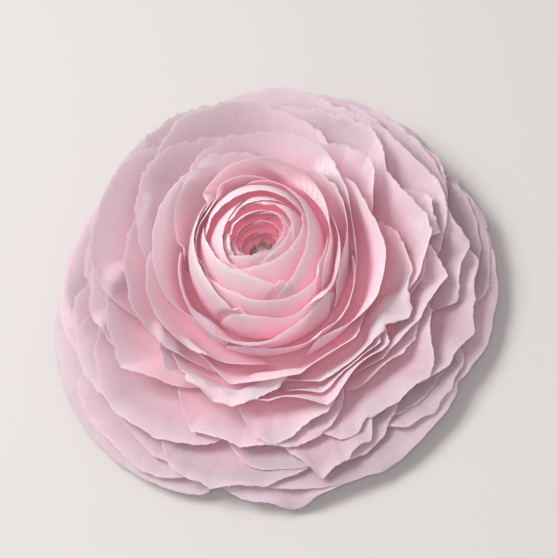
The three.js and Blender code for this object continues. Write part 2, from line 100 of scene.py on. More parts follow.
LAST_LEVEL = 62.0
# The underside of the core, the sepals and the stem hang from this level, past the last petal.
UNDER_LEVEL = LAST_LEVEL + 1.5
# How deep the eye's well goes into the core, mm of the drawn bloom.
WELL_DEPTH = 1.6

# How far a free end rolls, folds, cups, frills, pleats and curls, in levels.
ROLL = 0.7
FOLD = 0.5
CUP = 5.0
FRILL = 0.10
PLEAT = 2.2
CURL = 1.0
# How far the corners of the inner petals turn out on the side where they gape, in levels.
FLARE = 1.3
GAPING_SIDE = math.radians(165)
# How much steeper the petals stand on the side where they are folded most, in levels.
STEEP = 1.6
CRUMPLED_SIDE = math.radians(-68)


def smooth(low: float, high: float, x: np.ndarray | float) -> np.ndarray:
    """A smooth step from 0 at low to 1 at high.

    Args:
        low: Where the step starts.
        high: Where the step ends, which may lie below its start.
        x: The values to read.

    Returns:
        The step's height at each value.
    """
    t = np.clip((np.asarray(x, float) - low) / (high - low), 0.0, 1.0)
    return t * t * (3.0 - 2.0 * t)


def crumpled_share(angle: float) -> float:
    """Returns how far round towards the crumpled side an angle lies, from 0 to 1."""
    return 0.5 + 0.5 * math.cos(angle - CRUMPLED_SIDE)


def side_shares(columns: int) -> np.ndarray:
    """Returns shares of a half width from -1 to 1 as a row, closer together towards the sides."""
    crowding = 1.3
    return (np.sin(np.linspace(-1, 1, columns + 1) * crowding) / math.sin(crowding))[None, :]


class Slot(Enum):
    """Names for material slots: petal, eye, sepal and stem. Nothing here gives a piece a slot."""

    PETAL = "petal"
    EYE = "eye"
    SEPAL = "sepal"
    STEM = "stem"


# The rule of the petals


class Draws:
    """A repeatable stream of draws for one petal."""

    def __init__(self, seed: int) -> None:
        """Starts the stream.

        Args:
            seed: The stream's own number.
        """
        self.state = seed & 0xFFFFFFFF

    def next(self) -> float:
        """Moves the stream on.

        Returns:
            The next draw, from 0 to 1.
        """
        mask = 0xFFFFFFFF
        self.state = (self.state + 0x6D2B79F5) & mask
        t = self.state
        t = ((t ^ (t >> 15)) * (t | 1)) & mask
        t ^= (t + (((t ^ (t >> 7)) * (t | 61)) & mask)) & mask
        return ((t ^ (t >> 14)) & mask) / 4294967296

    def between(self, low: float, high: float) -> float:
        """Returns a draw from low to high."""
        return low + (high - low) * self.next()

    def normal(self) -> float:
        """Returns a draw that is near a normal one."""
        return (self.next() + self.next() + self.next() + self.next() - 2) * math.sqrt(3)


class Waves:
    """A smooth irregular wave over a petal, as a sum of a few tilted sines."""

    height = 1.2
    lengthwise = 0.6

    def __init__(self, draws: Draws, count: int, low: float, high: float) -> None:
        """Draws the sines.

        Args:
            draws: The petal's stream of draws.
            count: How many sines are summed.
            low: The least turns across the petal, in radians a half width.
            high: The most turns across the petal.
        """
        self.terms = []
        for _ in range(count):
            sign = -1 if draws.next() < 0.5 else 1
            across = sign * draws.between(low, high)
            along = draws.between(-high, high) * self.lengthwise
            phase = draws.between(0, TURN)
            self.terms.append((across, along, phase, draws.normal()))
        self.norm = self.height / math.hypot(1e-6, *(term[3] for term in self.terms))

    def at(self, x: np.ndarray, y: np.ndarray | float) -> np.ndarray:
        """Reads the wave.

        Args:
            x: Shares of the petal's half width.
            y: Shares of its length.

        Returns:
            The wave's height at these places.
        """
        x = np.asarray(x, float)
        total = sum(size * np.sin(x * a + y * b + phase) for a, b, phase, size in self.terms)
        return total * self.norm


class Shells:
    """The family of nested shells that the petals lie on, one for each level.

    A shell is turned from a lengthwise curve from root to rim, with one control point at its belly
    and one at its shoulder.
    """

    rows = STATIONS[:, 0]
    edge_step = 0.4
    samples = 16

    def station(self, column: int, level: np.ndarray) -> np.ndarray:
        """Reads one column at any level, on a smooth curve through the rows.

        Args:
            column: The column of STATIONS.
            level: The levels to read.

        Returns:
            The column's values, scaled to the bloom's width.
        """
        x = np.clip(level, 0.0, LAST_LEVEL)
        last = len(self.rows) - 1
        i = np.clip(np.searchsorted(self.rows, x, side="right") - 1, 0, last - 1)
        low = np.maximum(np.arange(last + 1) - 1, 0)
        high = np.minimum(np.arange(last + 1) + 1, last)
        values = STATIONS[:, column]
        slopes = (values[high] - values[low]) / (self.rows[high] - self.rows[low])
        span = self.rows[i + 1] - self.rows[i]
        t = (x - self.rows[i]) / span
        return SCALE * ((2 * t**3 - 3 * t**2 + 1) * values[i] + (t**3 - 2 * t**2 + t) * span * slopes[i]
                        + (-2 * t**3 + 3 * t**2) * values[i + 1] + (t**3 - t**2) * span * slopes[i + 1])

    def _inside(self, level: np.ndarray, s: np.ndarray) -> np.ndarray:
        """Reads shells whose levels lie within the rows.

        Args:
            level: The levels.
            s: Shares of the petal's length. Past 1 the curve goes straight on.

        Returns:
            Points (r, z).
        """
        q = np.minimum(s, 1.0)
        past = np.maximum(s - 1.0, 0.0) * 3.0
        axes = []
        for axis in (0, 1):
            root, belly, shoulder, rim = (self.station(column + axis, level)
                                          for column in (ROOT, BELLY, SHOULDER, RIM))
            axes.append((1 - q)**3 * root + 3 * (1 - q)**2 * q * belly + 3 * (1 - q) * q * q * shoulder
                        + q**3 * rim + past * (rim - shoulder))
        return np.stack(axes, -1)

    def point(self, level: np.ndarray | float, s: np.ndarray | float) -> np.ndarray:
        """Reads shells at any level.

        Args:
            level: The levels. Past the rows, the shells go on at an even distance.
            s: Shares of the petal's length.

        Returns:
            Points (r, z).
        """
        level, s = np.broadcast_arrays(np.asarray(level, float), np.asarray(s, float))
        at = self._inside(level, s)
        for edge, inner in ((0.0, self.edge_step), (LAST_LEVEL, LAST_LEVEL - self.edge_step)):
            out = level < edge if edge == 0.0 else level > edge
            if out.any():
                a, b = self._inside(np.full(s.shape, edge), s), self._inside(np.full(s.shape, inner), s)
                step = ((level - edge) / (edge - inner))[..., None]
                at = np.where(out[..., None], a + (a - b) * step, at)
        return at

    def length(self, level: float) -> float:
        """Returns the length of a shell's curve."""
        p = self.point(level, np.arange(self.samples + 1) / self.samples)
        return float(np.linalg.norm(np.diff(p, axis=0), axis=1).sum())

    def spacing(self, level: float, s: np.ndarray) -> np.ndarray:
        """Measures how far apart the shells lie.

        Args:
            level: The level in the middle.
            s: Shares of the petal's length.

        Returns:
            The distance between shells one level apart, across the curve.
        """
        at = np.full(s.shape, level)
        along = self.point(at, s + 0.01) - self.point(at, s - 0.01)
        over = self.point(at + 0.5, s) - self.point(at - 0.5, s)
        cross = np.abs(over[:, 0] * along[:, 1] - over[:, 1] * along[:, 0])
        return cross / np.linalg.norm(along, axis=1)


SHELLS = Shells()


def squeezed(x: np.ndarray, y: np.ndarray, z: np.ndarray) -> tuple[np.ndarray, np.ndarray]:
    """Closes the top of the heart over its middle, mostly from the near side.

    Args:
        x: Distance to the right in the upright bloom, mm.
        y: Distance to the back, mm.
        z: Height, mm.

    Returns:
        The new distances to the right and to the back.
    """
    along, across = math.cos(NEAR_SIDE), math.sin(NEAR_SIDE)
    near = x * along + y * across
    share = smooth(*SQUEEZE_RADII, np.hypot(x, y) / SCALE) * smooth(*SQUEEZE_HEIGHTS, z / SCALE)
    squeeze = FAR_SQUEEZE + (NEAR_SQUEEZE - FAR_SQUEEZE) * smooth(-SQUEEZE_BLEND, SQUEEZE_BLEND, near)
    step = (near * squeeze - NEAR_STEP) * share
    return x - along * step, y - across * step


def bent(x: np.ndarray, y: np.ndarray, z: np.ndarray) -> np.ndarray:
    """Squeezes the heart, bends the bloom above its base and sets it down over the origin.

    Args:
        x: Distance to the right in the upright bloom, mm.
        y: Distance to the back, mm.
        z: Height, mm.

    Returns:
        Points in the frame, mm.
    """
    x, y = squeezed(x, y, z)
    height = np.maximum(z / SCALE - BEND_START, 0.0) / (HEART_HEIGHT - BEND_START)
    lean = SCALE * height**LEAN_POWER
    rise = BACK_RISE * y * height
    x, y = x + HEART_LEAN[0] * lean, y + HEART_LEAN[1] * lean
    return np.stack([x + SHIFT[0], y + SHIFT[1], z + rise - DROP], -1)


class Petal:
    """One petal: where it stands round the stem, how wide and long it is, and how it waves.

    A whole number is a petal of the plain spiral, and a half number is a narrower one in between.
    The levels on which the petal lies are worked out later, when all the petals are laid.
    Each bloom has `bloom_seeds` streams of draws of its own, and the petals in between have theirs
    `between_seed` further on.
    """

    level_spread = 0.3
    angle_spread = math.radians(4)
    width_spread = 0.16
    reach_spread = 0.03
    corner_spread = 0.03
    narrower_between = 0.3
    bloom_seeds = 1000
    between_seed = 1000.5
    widest = math.radians(100)
    least_radius = 3 * SCALE
    claw_width = 0.26
    tooth_count = 160

    def __init__(self, number: float) -> None:
        """Draws the petal.

        Args:
            number: The petal's place, counted from the heart outwards.
        """
        between = 2 * number % 2
        draws = Draws(round(SEED * self.bloom_seeds + self.between_seed * between + number))
        self.number = number
        self.level = number + 0.5 + draws.between(-self.level_spread, self.level_spread)
        self.angle = number * GOLDEN_ANGLE + self.angle_spread * draws.normal()
        width = float(SHELLS.station(HALF_WIDTH, np.array(self.level)))
        width *= (1 + self.width_spread * draws.normal()) * (1 - self.narrower_between * between)
        radii = SHELLS.point(self.level, 0.35 + 0.65 * np.arange(12) / 11)[:, 0]
        self.radius = max(float(radii.max()), self.least_radius)
        self.length = SHELLS.length(self.level)
        self.half_angle = min(width / self.radius, self.widest)
        self.reach = 1 + self.reach_spread * draws.normal() * (0.4 + self.grown(7, 18))
        guard = self.grown(36, 58)
        self.corner = 0.42 + self.corner_spread * draws.normal() - 0.06 * guard
        self.power = 2.6 + 0.9 * guard
        self.tilt = draws.normal()
        self.loose = self.grown(11, 20) * (1 - 0.35 * self.grown(44, 60))
        self.folded = self.loose * self.grown(22, 34)
        self.crumpled = crumpled_share(self.angle)
        self.roll = Waves(draws, 3, 0.8, 2.0)
        self.fold = Waves(draws, 4, 2.0, 4.5)
        self.edge = Waves(draws, 4, 2.5, 7)
        self.frill = Waves(draws, 6, 6.0, 13.0)
        self.nick = Waves(draws, 10, 14.0, 42.0)
        self.shade = draws.normal()
        self.pleats = [(draws.between(2.4, 4.4), draws.between(0, math.pi), draws.between(0.4, 1.0)),
                       (draws.between(5.0, 8.0), draws.between(0, math.pi), draws.between(0.2, 0.5))]
        self.teeth = np.array([draws.normal() for _ in range(self.tooth_count)])
        self.levels: np.ndarray | None = None

    def grown(self, low: float, high: float) -> float:
        """Returns a smooth step, from 0 to 1, as the petal's level goes from low to high."""
        return float(smooth(low, high, self.level))

    def outline(self, u: np.ndarray) -> np.ndarray:
        """Works out the petal's outline.

        Args:
            u: Shares of the half width.

        Returns:
            How far the petal reaches there, as a share of its shell's length.
        """
        a = np.minimum(np.abs(u), 1.0)
        round_off = 1 - self.corner * (1 - np.sqrt(1 - a**self.power))
        return self.reach * round_off + 0.012 * self.edge.at(u, 0) * (0.4 + self.loose)

    def narrowing(self, s: np.ndarray) -> np.ndarray:
        """Returns the petal's width at s, as a share of its full width."""
        return self.claw_width + (1 - self.claw_width) * smooth(0, 0.62, s)

    def across(self, angle: np.ndarray, s: np.ndarray) -> np.ndarray:
        """Returns where an angle round the stem lies, as a share of the half width there."""
        off = (angle - self.angle + math.pi) % TURN - math.pi
        return off / (self.half_angle * self.narrowing(s))

    def pleat(self, u: np.ndarray) -> np.ndarray:
        """Returns the lengthwise folds at these shares of the half width: sharp ridges, round valleys."""
        return sum(size * (1.3 - 2 * np.abs(np.sin(u * turns + phase))**0.8)
                   for turns, phase, size in self.pleats)

    def wanted_level(self, u: np.ndarray, s: np.ndarray) -> np.ndarray:
        """Works out the level that the petal would take by itself.

        Args:
            u: Shares of the half width.
            s: Shares of the petal's length.

        Returns:
            The levels: the petal's own, one side over the other, with all its waves and folds.
        """
        free = smooth(0.5, 1.0, s)
        lap = 0.6 * u * (0.5 + 0.5 * free)
        waves = ROLL * self.roll.at(u, s) + FOLD * self.fold.at(u, s) + self.tilt
        cup = CUP * self.loose * free * (u * u - 0.3)
        frill = smooth(0.72, 1.0, s) * (0.08 + self.loose) * FRILL * self.frill.at(u, s * 2.5)
        pleats = PLEAT * self.folded * (0.15 + 0.85 * self.crumpled) * smooth(0.55, 1.05, s) * self.pleat(u)
        curl = CURL * self.loose * smooth(0.8, 1.05, s)
        inner = self.grown(8, 12) * (1 - self.grown(24, 34))
        gaping = max(0.0, math.cos(self.angle - GAPING_SIDE)) * inner
        flare = FLARE * gaping * smooth(0.3, 1.0, np.abs(u)) * smooth(0.7, 1.0, s)
        steep = STEEP * max(0.0, 2 * self.crumpled - 1) * self.loose * free
        fine = frill + pleats + curl + flare - steep
        return self.level + lap + free * (self.loose + 0.15) * waves - cup + fine


@dataclass
class Laying:
    """Lays the petals from the outermost in, so that they nest without crossing.

    The grid runs over (angle round the stem, share of petal length) and holds one level a cell.
    `space` is the room from one petal to the next in millimetres, of which `heart_space` is the
    share left in the heart, and `most_space` is the most that it may come to in levels. `reach` is
    how far round the stem a petal feels the ones outside it, in millimetres, and `widths` are the
    fewest and the most cells for that. `softness` rounds off the place where two petals meet.
    """

    angles: int = 720
    steps: int = 130
    most_share: float = 1.25
    space: float = 0.5
    heart_space: float = 0.6
    most_space: float = 2.0
    least_spacing: float = 0.12
    reach: float = 1.6
    widths: tuple[int, int] = (3, 24)
    softness: float = 0.35
    open_level: float = LAST_LEVEL + 6.0

    def lay(self, petals: list[Petal]) -> None:
        """Gives each petal its laid levels.

        Args:
            petals: All the petals, from the heart outwards.
        """
        angle = np.arange(self.angles)[:, None] * TURN / self.angles
        share = np.linspace(0, self.most_share, self.steps)[None, :]
        laid = np.full((self.angles, self.steps), self.open_level)
        for petal in reversed(petals):
            ceiling = self.ceiling(laid, petal)
            space = self.space * (self.heart_space + (1 - self.heart_space) * petal.grown(8, 22))
            spacing = SHELLS.spacing(petal.level, np.maximum(share[0], 0.02))
            gap = np.minimum(space / np.maximum(spacing, self.least_spacing), self.most_space)
            u = petal.across(angle, share)
            wanted = petal.wanted_level(np.clip(u, -1.2, 1.2), share)
            petal.levels = self.evened(self.lower(wanted, ceiling - gap), 1, 1)
            covered = (np.abs(u) <= 1) & (share <= petal.outline(np.clip(u, -1, 1)) + 0.01)
            laid = np.where(covered, np.minimum(laid, petal.levels), laid)

    def ceiling(self, laid: np.ndarray, petal: Petal) -> np.ndarray:
        """Works out the level under which a petal has to stay.

        Args:
            laid: The lowest level that is taken in each cell.
            petal: The next petal to lay.

        Returns:
            The lowest level taken near each cell, evened out.
        """
        width = int(np.clip(round(self.reach / petal.radius * self.angles / TURN), *self.widths))
        ceiling = self.lowest_near(laid, width, 3)
        for _ in range(2):
            ceiling = self.evened(ceiling, max(1, width // 2), 2)
        return ceiling

    def lower(self, a: np.ndarray, b: np.ndarray) -> np.ndarray:
        """Returns the lower of two levels, without a crease where they meet."""
        return -self.softness * np.logaddexp(-a / self.softness, -b / self.softness)

    def lowest_near(self, grid: np.ndarray, angles: int, steps: int) -> np.ndarray:
        """Finds the lowest level round each cell.

        Args:
            grid: The levels.
            angles: How many cells are looked at on either side, round the stem.
            steps: How many cells are looked at on either side, along the petals.

        Returns:
            The lowest levels.
        """
        least = grid.copy()
        for a in range(-angles, angles + 1):
            least = np.minimum(least, np.roll(grid, a, 0))
        padded = np.pad(least, ((0, 0), (steps, steps)), mode="edge")
        for b in range(2 * steps + 1):
            least = np.minimum(least, padded[:, b:b + grid.shape[1]])
        return least

    def evened(self, grid: np.ndarray, angles: int, steps: int) -> np.ndarray:
        """Evens out a grid's steps.

        Args:
            grid: The levels.
            angles: How many cells count on either side, round the stem.
            steps: How many cells count on either side, along the petals.

        Returns:
            The mean of the cells round each cell.
        """
        round_stem = sum(np.roll(grid, a, 0) for a in range(-angles, angles + 1)) / (2 * angles + 1)
        padded = np.pad(round_stem, ((0, 0), (steps, steps)), mode="edge")
        return sum(padded[:, b:b + grid.shape[1]] for b in range(2 * steps + 1)) / (2 * steps + 1)

    def read(self, levels: np.ndarray, angle: np.ndarray, s: np.ndarray) -> np.ndarray:
        """Reads laid levels between the grid's cells.

        Args:
            levels: A petal's laid levels.
            angle: Angles round the stem.
            s: Shares of the petal's length.

        Returns:
            The level at each place.
        """
        x = (angle % TURN) / TURN * self.angles
        y = np.clip(s / self.most_share * (self.steps - 1), 0, self.steps - 1.001)
        i, j = x.astype(int) % self.angles, y.astype(int)
        k, fx, fy = (i + 1) % self.angles, x - np.floor(x), y - j
        first = levels[i, j] * (1 - fy) + levels[i, j + 1] * fy
        second = levels[k, j] * (1 - fy) + levels[k, j + 1] * fy
        return first * (1 - fx) + second * fx


# Node trees


class Nodes:
    """Adds and links nodes in one tree, of either kind."""

    def __init__(self, tree: bpy.types.NodeTree) -> None:
        """Takes the tree to fill."""
        self.tree = tree

    def add(self, kind: str, inputs: dict | None = None, **settings: object) -> bpy.types.Node:
        """Adds a node.

        Args:
            kind: The node's class name.
            inputs: Values or output sockets for its inputs, by name or place.
            settings: The node's own options.

        Returns:
            The new node.
        """
        node = self.tree.nodes.new(kind)
        for name, value in settings.items():
            setattr(node, name, value)
        for key, value in (inputs or {}).items():
            self.put(node.inputs[key], value)
        return node

    def put(self, socket: bpy.types.NodeSocket, value: object) -> None:
        """Links an output to a socket, or sets the socket's own value.

        Args:
            socket: The input.
            value: An output socket, or a plain value.
        """
        if isinstance(value, bpy.types.NodeSocket):
            self.tree.links.new(value, socket)
        else:
            socket.default_value = value

    def math(self, operation: str, a: object, b: object = 0.0, clamp: bool = False) -> bpy.types.NodeSocket:
        """Returns the result of one sum, product or other operation on two numbers."""
        node = self.add("ShaderNodeMath", {0: a, 1: b}, operation=operation, use_clamp=clamp)
        return node.outputs[0]

    def scaled(self, vector: object, by: object) -> bpy.types.NodeSocket:
        """Returns a vector times a number."""
        node = self.add("ShaderNodeVectorMath", {0: vector, "Scale": by}, operation="SCALE")
        return node.outputs[0]

    def ranged(self, value: object, low: float, high: float, to_low: object = 0.0,
               to_high: object = 1.0) -> bpy.types.NodeSocket:
        """Adds a smooth step.

        Args:
            value: The value to read.
            low: Where the step starts.
            high: Where the step ends.
            to_low: The result at its start.
            to_high: The result at its end.

        Returns:
            The result.
        """
        node = self.add("ShaderNodeMapRange", {0: value, 1: low, 2: high, 3: to_low, 4: to_high},
                        interpolation_type="SMOOTHSTEP")
        return node.outputs[0]

    def mixed(self, factor: object, a: object, b: object) -> bpy.types.NodeSocket:
        """Returns two colours mixed."""
        node = self.add("ShaderNodeMix", {0: factor, 6: a, 7: b}, data_type="RGBA")
        return node.outputs[2]


class Grower:
    """A geometry node tree with named inputs, put on a mesh and turned into a plain one."""

    def __init__(self, name: str, sizes: tuple[str, ...]) -> None:
        """Starts the tree with a geometry going in and one coming out.

        Args:
            name: The tree's name.
            sizes: The names of its inputs that are plain numbers.
        """
        self.tree = bpy.data.node_groups.new(name, "GeometryNodeTree")
        self.tree.is_modifier = True
        self.inputs = {}
        self.socket("Geometry", "NodeSocketGeometry")
        for size in sizes:
            self.socket(size, "NodeSocketFloat")
        self.socket("Material", "NodeSocketMaterial")
        self.tree.interface.new_socket("Geometry", in_out="OUTPUT", socket_type="NodeSocketGeometry")
        self.nodes = Nodes(self.tree)
        self.start = self.nodes.add("NodeGroupInput")

    def socket(self, name: str, kind: str) -> None:
        """Adds a named input."""
        self.inputs[name] = self.tree.interface.new_socket(name, in_out="INPUT", socket_type=kind)

    def given(self, name: str) -> bpy.types.NodeSocket:
        """Returns the inner end of a named input."""
        return self.start.outputs[name]

    def attribute(self, name: str, kind: str = "FLOAT") -> bpy.types.NodeSocket:
        """Returns a field that reads an attribute of the mesh."""
        return self.nodes.add("GeometryNodeInputNamedAttribute", {"Name": name}, data_type=kind).outputs[0]

    def close(self, geometry: bpy.types.NodeSocket) -> None:
        """Ends the tree: instances become mesh, and the mesh takes its material.

        Args:
            geometry: What the tree has made.
        """
        smooth_faces = self.nodes.add("GeometryNodeSetShadeSmooth", {"Geometry": geometry})
        real = self.nodes.add("GeometryNodeRealizeInstances", {"Geometry": smooth_faces.outputs[0]})
        dressed = self.nodes.add("GeometryNodeSetMaterial",
                                 {"Geometry": real.outputs[0], "Material": self.given("Material")})
        end = self.nodes.add("NodeGroupOutput")
        self.tree.links.new(dressed.outputs[0], end.inputs[0])

    def grow(self, name: str, seedling: bpy.types.Mesh, values: dict) -> bpy.types.Object:
        """Runs the tree on a mesh.

        Args:
            name: The finished piece's name.
            seedling: The mesh that goes in.
            values: The value of each named input.

        Returns:
            An object with the plain mesh, at the origin.
        """
        piece = bpy.data.objects.new(name, seedling)
        bpy.context.scene.collection.objects.link(piece)
        modifier = piece.modifiers.new("grow", "NODES")
        modifier.node_group = self.tree
        for key, value in values.items():
            modifier[self.inputs[key].identifier] = value
        graph = bpy.context.evaluated_depsgraph_get()
        mesh = bpy.data.meshes.new_from_object(piece.evaluated_get(graph), preserve_all_data_layers=True,
                                               depsgraph=graph)
        piece.modifiers.clear()
        piece.data = mesh
        mesh.name = name
        bpy.data.meshes.remove(seedling)
        return piece


@dataclass(frozen=True)
class Blade:
    """The build of a thin blade, mm: how thick it is, how wide its tapered margin is, its crumples."""

    thickness: float
    edge_width: float
    crumple_height: float
    crumple_size: float

    def inputs(self, seed: float, material: bpy.types.Material) -> dict:
        """Returns the inputs of the blades' tree."""
        return {"Thickness": self.thickness * MM, "Edge Width": self.edge_width,
                "Crumple Height": self.crumple_height * MM, "Crumple Size": self.crumple_size,
                "Seed": seed, "Material": material}


def blade_grower() -> Grower:
    """Makes the tree that turns a petal's or sepal's middle surface into a closed thin blade.

    Returns:
        The tree. It crumples the free part of the blade a little, and gives it two faces that
        meet in a thin margin all round.
    """
    grower = Grower("petal blade", ("Thickness", "Edge Width", "Crumple Height", "Crumple Size", "Seed"))
    n = grower.nodes
    normal = n.add("GeometryNodeInputNormal").outputs[0]
    scale = n.math("DIVIDE", 1.0, grower.given("Crumple Size"))
    noise = n.add("ShaderNodeTexNoise",
                  {"Vector": grower.attribute("place", "FLOAT_VECTOR"), "W": grower.given("Seed"),
                   "Scale": scale, "Detail": 2.0, "Roughness": 0.55}, noise_dimensions="4D")
    lift = n.math("MULTIPLY", n.math("SUBTRACT", noise.outputs[0], 0.5),
                  n.math("MULTIPLY", grower.given("Crumple Height"), grower.attribute("free")))
    sheet = n.add("GeometryNodeSetPosition",
                  {"Geometry": grower.given("Geometry"), "Offset": n.scaled(normal, lift)}).outputs[0]
    full = n.ranged(grower.attribute("margin"), 0.0, grower.given("Edge Width"), 0.0, 0.5)
    half = n.math("MULTIPLY", full, grower.given("Thickness"))
    both = n.add("GeometryNodeJoinGeometry")
    for side in (1.0, -1.0):
        face = n.add("GeometryNodeSetPosition",
                     {"Geometry": sheet, "Offset": n.scaled(normal, n.math("MULTIPLY", half, side))})
        if side < 0:
            face = n.add("GeometryNodeFlipFaces", {"Mesh": face.outputs[0]})
        marked = n.add("GeometryNodeStoreNamedAttribute",
                       {"Geometry": face.outputs[0], "Name": "inner", "Value": 1.0 if side > 0 else 0.0},
                       data_type="FLOAT", domain="POINT")
        grower.tree.links.new(marked.outputs[0], both.inputs[0])
    closed = n.add("GeometryNodeMergeByDistance", {"Geometry": both.outputs[0], "Distance": MERGE})
    at_edge = n.add("FunctionNodeCompare", {0: grower.attribute("margin"), 1: 0.001}, operation="LESS_THAN")
    keen = n.add("GeometryNodeSetShadeSmooth",
                 {"Geometry": closed.outputs[0], "Selection": at_edge.outputs[0], "Shade Smooth": False},
                 domain="EDGE")
    grower.close(keen.outputs[0])
    return grower


@dataclass(frozen=True)
class Stalk:
    """The form of a stalk: its radii in millimetres, where its head sits, and its sides."""

    foot: float
    waist: float
    head: float
    head_place: float
    sides: int

    def inputs(self, material: bpy.types.Material) -> dict:
        """Returns the inputs of the stalks' tree."""
        return {"Foot": self.foot, "Waist": self.waist, "Head": self.head, "Head Place": self.head_place,
                "Sides": self.sides, "Material": material}


def stalks_grower() -> Grower:
    """Makes the tree that stands one small curved stalk on each point of the mesh that goes in.

    Returns:
        The tree. A point's `toward` vector is the stalk's direction, `spin` turns it about that,
        `length` is its length in metres, and `girth` is the metres that one unit of radius takes.
    """
    grower = Grower("stalks", ("Foot", "Waist", "Head", "Head Place"))
    grower.socket("Sides", "NodeSocketInt")
    n = grower.nodes
    line = n.add("GeometryNodeCurveQuadraticBezier",
                 {"Resolution": 9, "Start": (0, 0, 0), "Middle": (0, 0, 0.6), "End": (0.35, 0, 1.0)})
    place = n.add("GeometryNodeSplineParameter").outputs[0]
    off = n.math("ABSOLUTE", n.math("SUBTRACT", place, grower.given("Head Place")))
    bulge = n.math("SUBTRACT", 1.0, n.math("MULTIPLY", off, 4.0), clamp=True)
    head = n.math("MULTIPLY", grower.given("Head"), bulge)
    taper = n.math("SUBTRACT", grower.given("Waist"), grower.given("Foot"))
    shaft = n.math("ADD", grower.given("Foot"), n.math("MULTIPLY", place, taper))
    tip = n.math("SQRT", n.math("SUBTRACT", 1.0, n.math("POWER", place, 6.0), clamp=True))
    radius = n.math("MULTIPLY", n.math("MAXIMUM", shaft, head), n.math("MAXIMUM", tip, 0.06))
    ring = n.add("GeometryNodeCurvePrimitiveCircle", {"Resolution": grower.given("Sides"), "Radius": 1.0})
    tube = n.add("GeometryNodeCurveToMesh",
                 {"Curve": line.outputs[0], "Profile Curve": ring.outputs[0], "Scale": radius,
                  "Fill Caps": True})
    toward = grower.attribute("toward", "FLOAT_VECTOR")
    turn = n.add("FunctionNodeAlignRotationToVector", {"Vector": toward}, axis="Z")
    about = n.add("FunctionNodeAxisAngleToRotation", {"Axis": (0, 0, 1), "Angle": grower.attribute("spin")})
    spin = n.add("FunctionNodeRotateRotation", {0: turn.outputs[0], 1: about.outputs[0]},
                 rotation_space="LOCAL")
    size = n.add("ShaderNodeCombineXYZ", {0: grower.attribute("girth"), 1: grower.attribute("girth"),
                                          2: grower.attribute("length")})
    points = n.add("GeometryNodeMeshToPoints", {"Mesh": grower.given("Geometry")})
    stood = n.add("GeometryNodeInstanceOnPoints",
                  {"Points": points.outputs[0], "Instance": tube.outputs[0], "Rotation": spin.outputs[0],
                   "Scale": size.outputs[0]})
    real = n.add("GeometryNodeRealizeInstances", {"Geometry": stood.outputs[0]})
    grower.close(real.outputs[0])
    return grower


# Meshes that the trees grow on


@dataclass
class Sheet:
    """A blade's middle surface: rows of points in millimetres, and named values on them."""

    number: float
    points: np.ndarray
    fields: dict[str, np.ndarray]


def store_fields(mesh: bpy.types.Mesh, fields: dict[str, np.ndarray]) -> None:
    """Writes named values on a mesh's points.

    Args:
        mesh: The mesh.
        fields: Values at each point: one number, or a vector of three.
    """
    for name, values in fields.items():
        vector = values.ndim > 1
        made = mesh.attributes.new(name, "FLOAT_VECTOR" if vector else "FLOAT", "POINT")
        made.data.foreach_set("vector" if vector else "value", values.astype(np.float32).ravel())


def point_cloud(name: str, points: np.ndarray, fields: dict[str, np.ndarray]) -> bpy.types.Mesh:
    """Makes a mesh of loose points with named fields.

    Args:
        name: The mesh's name.
        points: Places in millimetres.
        fields: Values at each point.

    Returns:
        The mesh, in metres.
    """
    mesh = bpy.data.meshes.new(name)
    mesh.from_pydata((points * MM).tolist(), [], [])
    store_fields(mesh, fields)
    return mesh


def sheet_mesh(name: str, sheets: list[Sheet]) -> bpy.types.Mesh:
    """Makes one mesh of several middle surfaces with the same rows and columns.

    Args:
        name: The mesh's name.
        sheets: The surfaces.

    Returns:
        The mesh, in metres, with the fields of the surfaces.
    """
    rows, columns = (count - 1 for count in sheets[0].points.shape[:2])
    corner = (np.arange(rows)[:, None] * (columns + 1) + np.arange(columns)[None, :]).ravel()
    face = np.stack([corner, corner + columns + 1, corner + columns + 2, corner + 1], -1)
    faces = np.concatenate([face + k * (rows + 1) * (columns + 1) for k in range(len(sheets))])
    points = np.concatenate([sheet.points.reshape(-1, 3) for sheet in sheets])
    mesh = bpy.data.meshes.new(name)
    mesh.from_pydata((points * MM).tolist(), [], faces.tolist())
    for key, first in sheets[0].fields.items():
        values = [sheet.fields[key].reshape(-1, *first.shape[2:]) for sheet in sheets]
        store_fields(mesh, {key: np.concatenate(values)})
    return mesh


def closed_outward(mesh: bpy.types.Mesh) -> bpy.types.Mesh:
    """Merges a mesh's doubles and turns its faces outwards.

    Args:
        mesh: The mesh, which is changed.

    Returns:
        The same mesh, shaded smooth.
    """
    work = bmesh.new()
    work.from_mesh(mesh)
    bmesh.ops.remove_doubles(work, verts=work.verts, dist=MERGE)
    bmesh.ops.dissolve_degenerate(work, edges=work.edges, dist=MERGE / 10)
    bmesh.ops.recalc_face_normals(work, faces=work.faces)
    work.to_mesh(mesh)
    work.free()
    mesh.shade_smooth()
    return mesh


def placed(name: str, mesh: bpy.types.Mesh, material: bpy.types.Material) -> bpy.types.Object:
    """Puts a mesh in the scene.

    Args:
        name: The object's name.
        mesh: Its mesh, in place.
        material: Its material.

    Returns:
        The object, at the origin.
    """
    piece = bpy.data.objects.new(name, mesh)
    bpy.context.scene.collection.objects.link(piece)
    mesh.materials.append(material)
    return piece


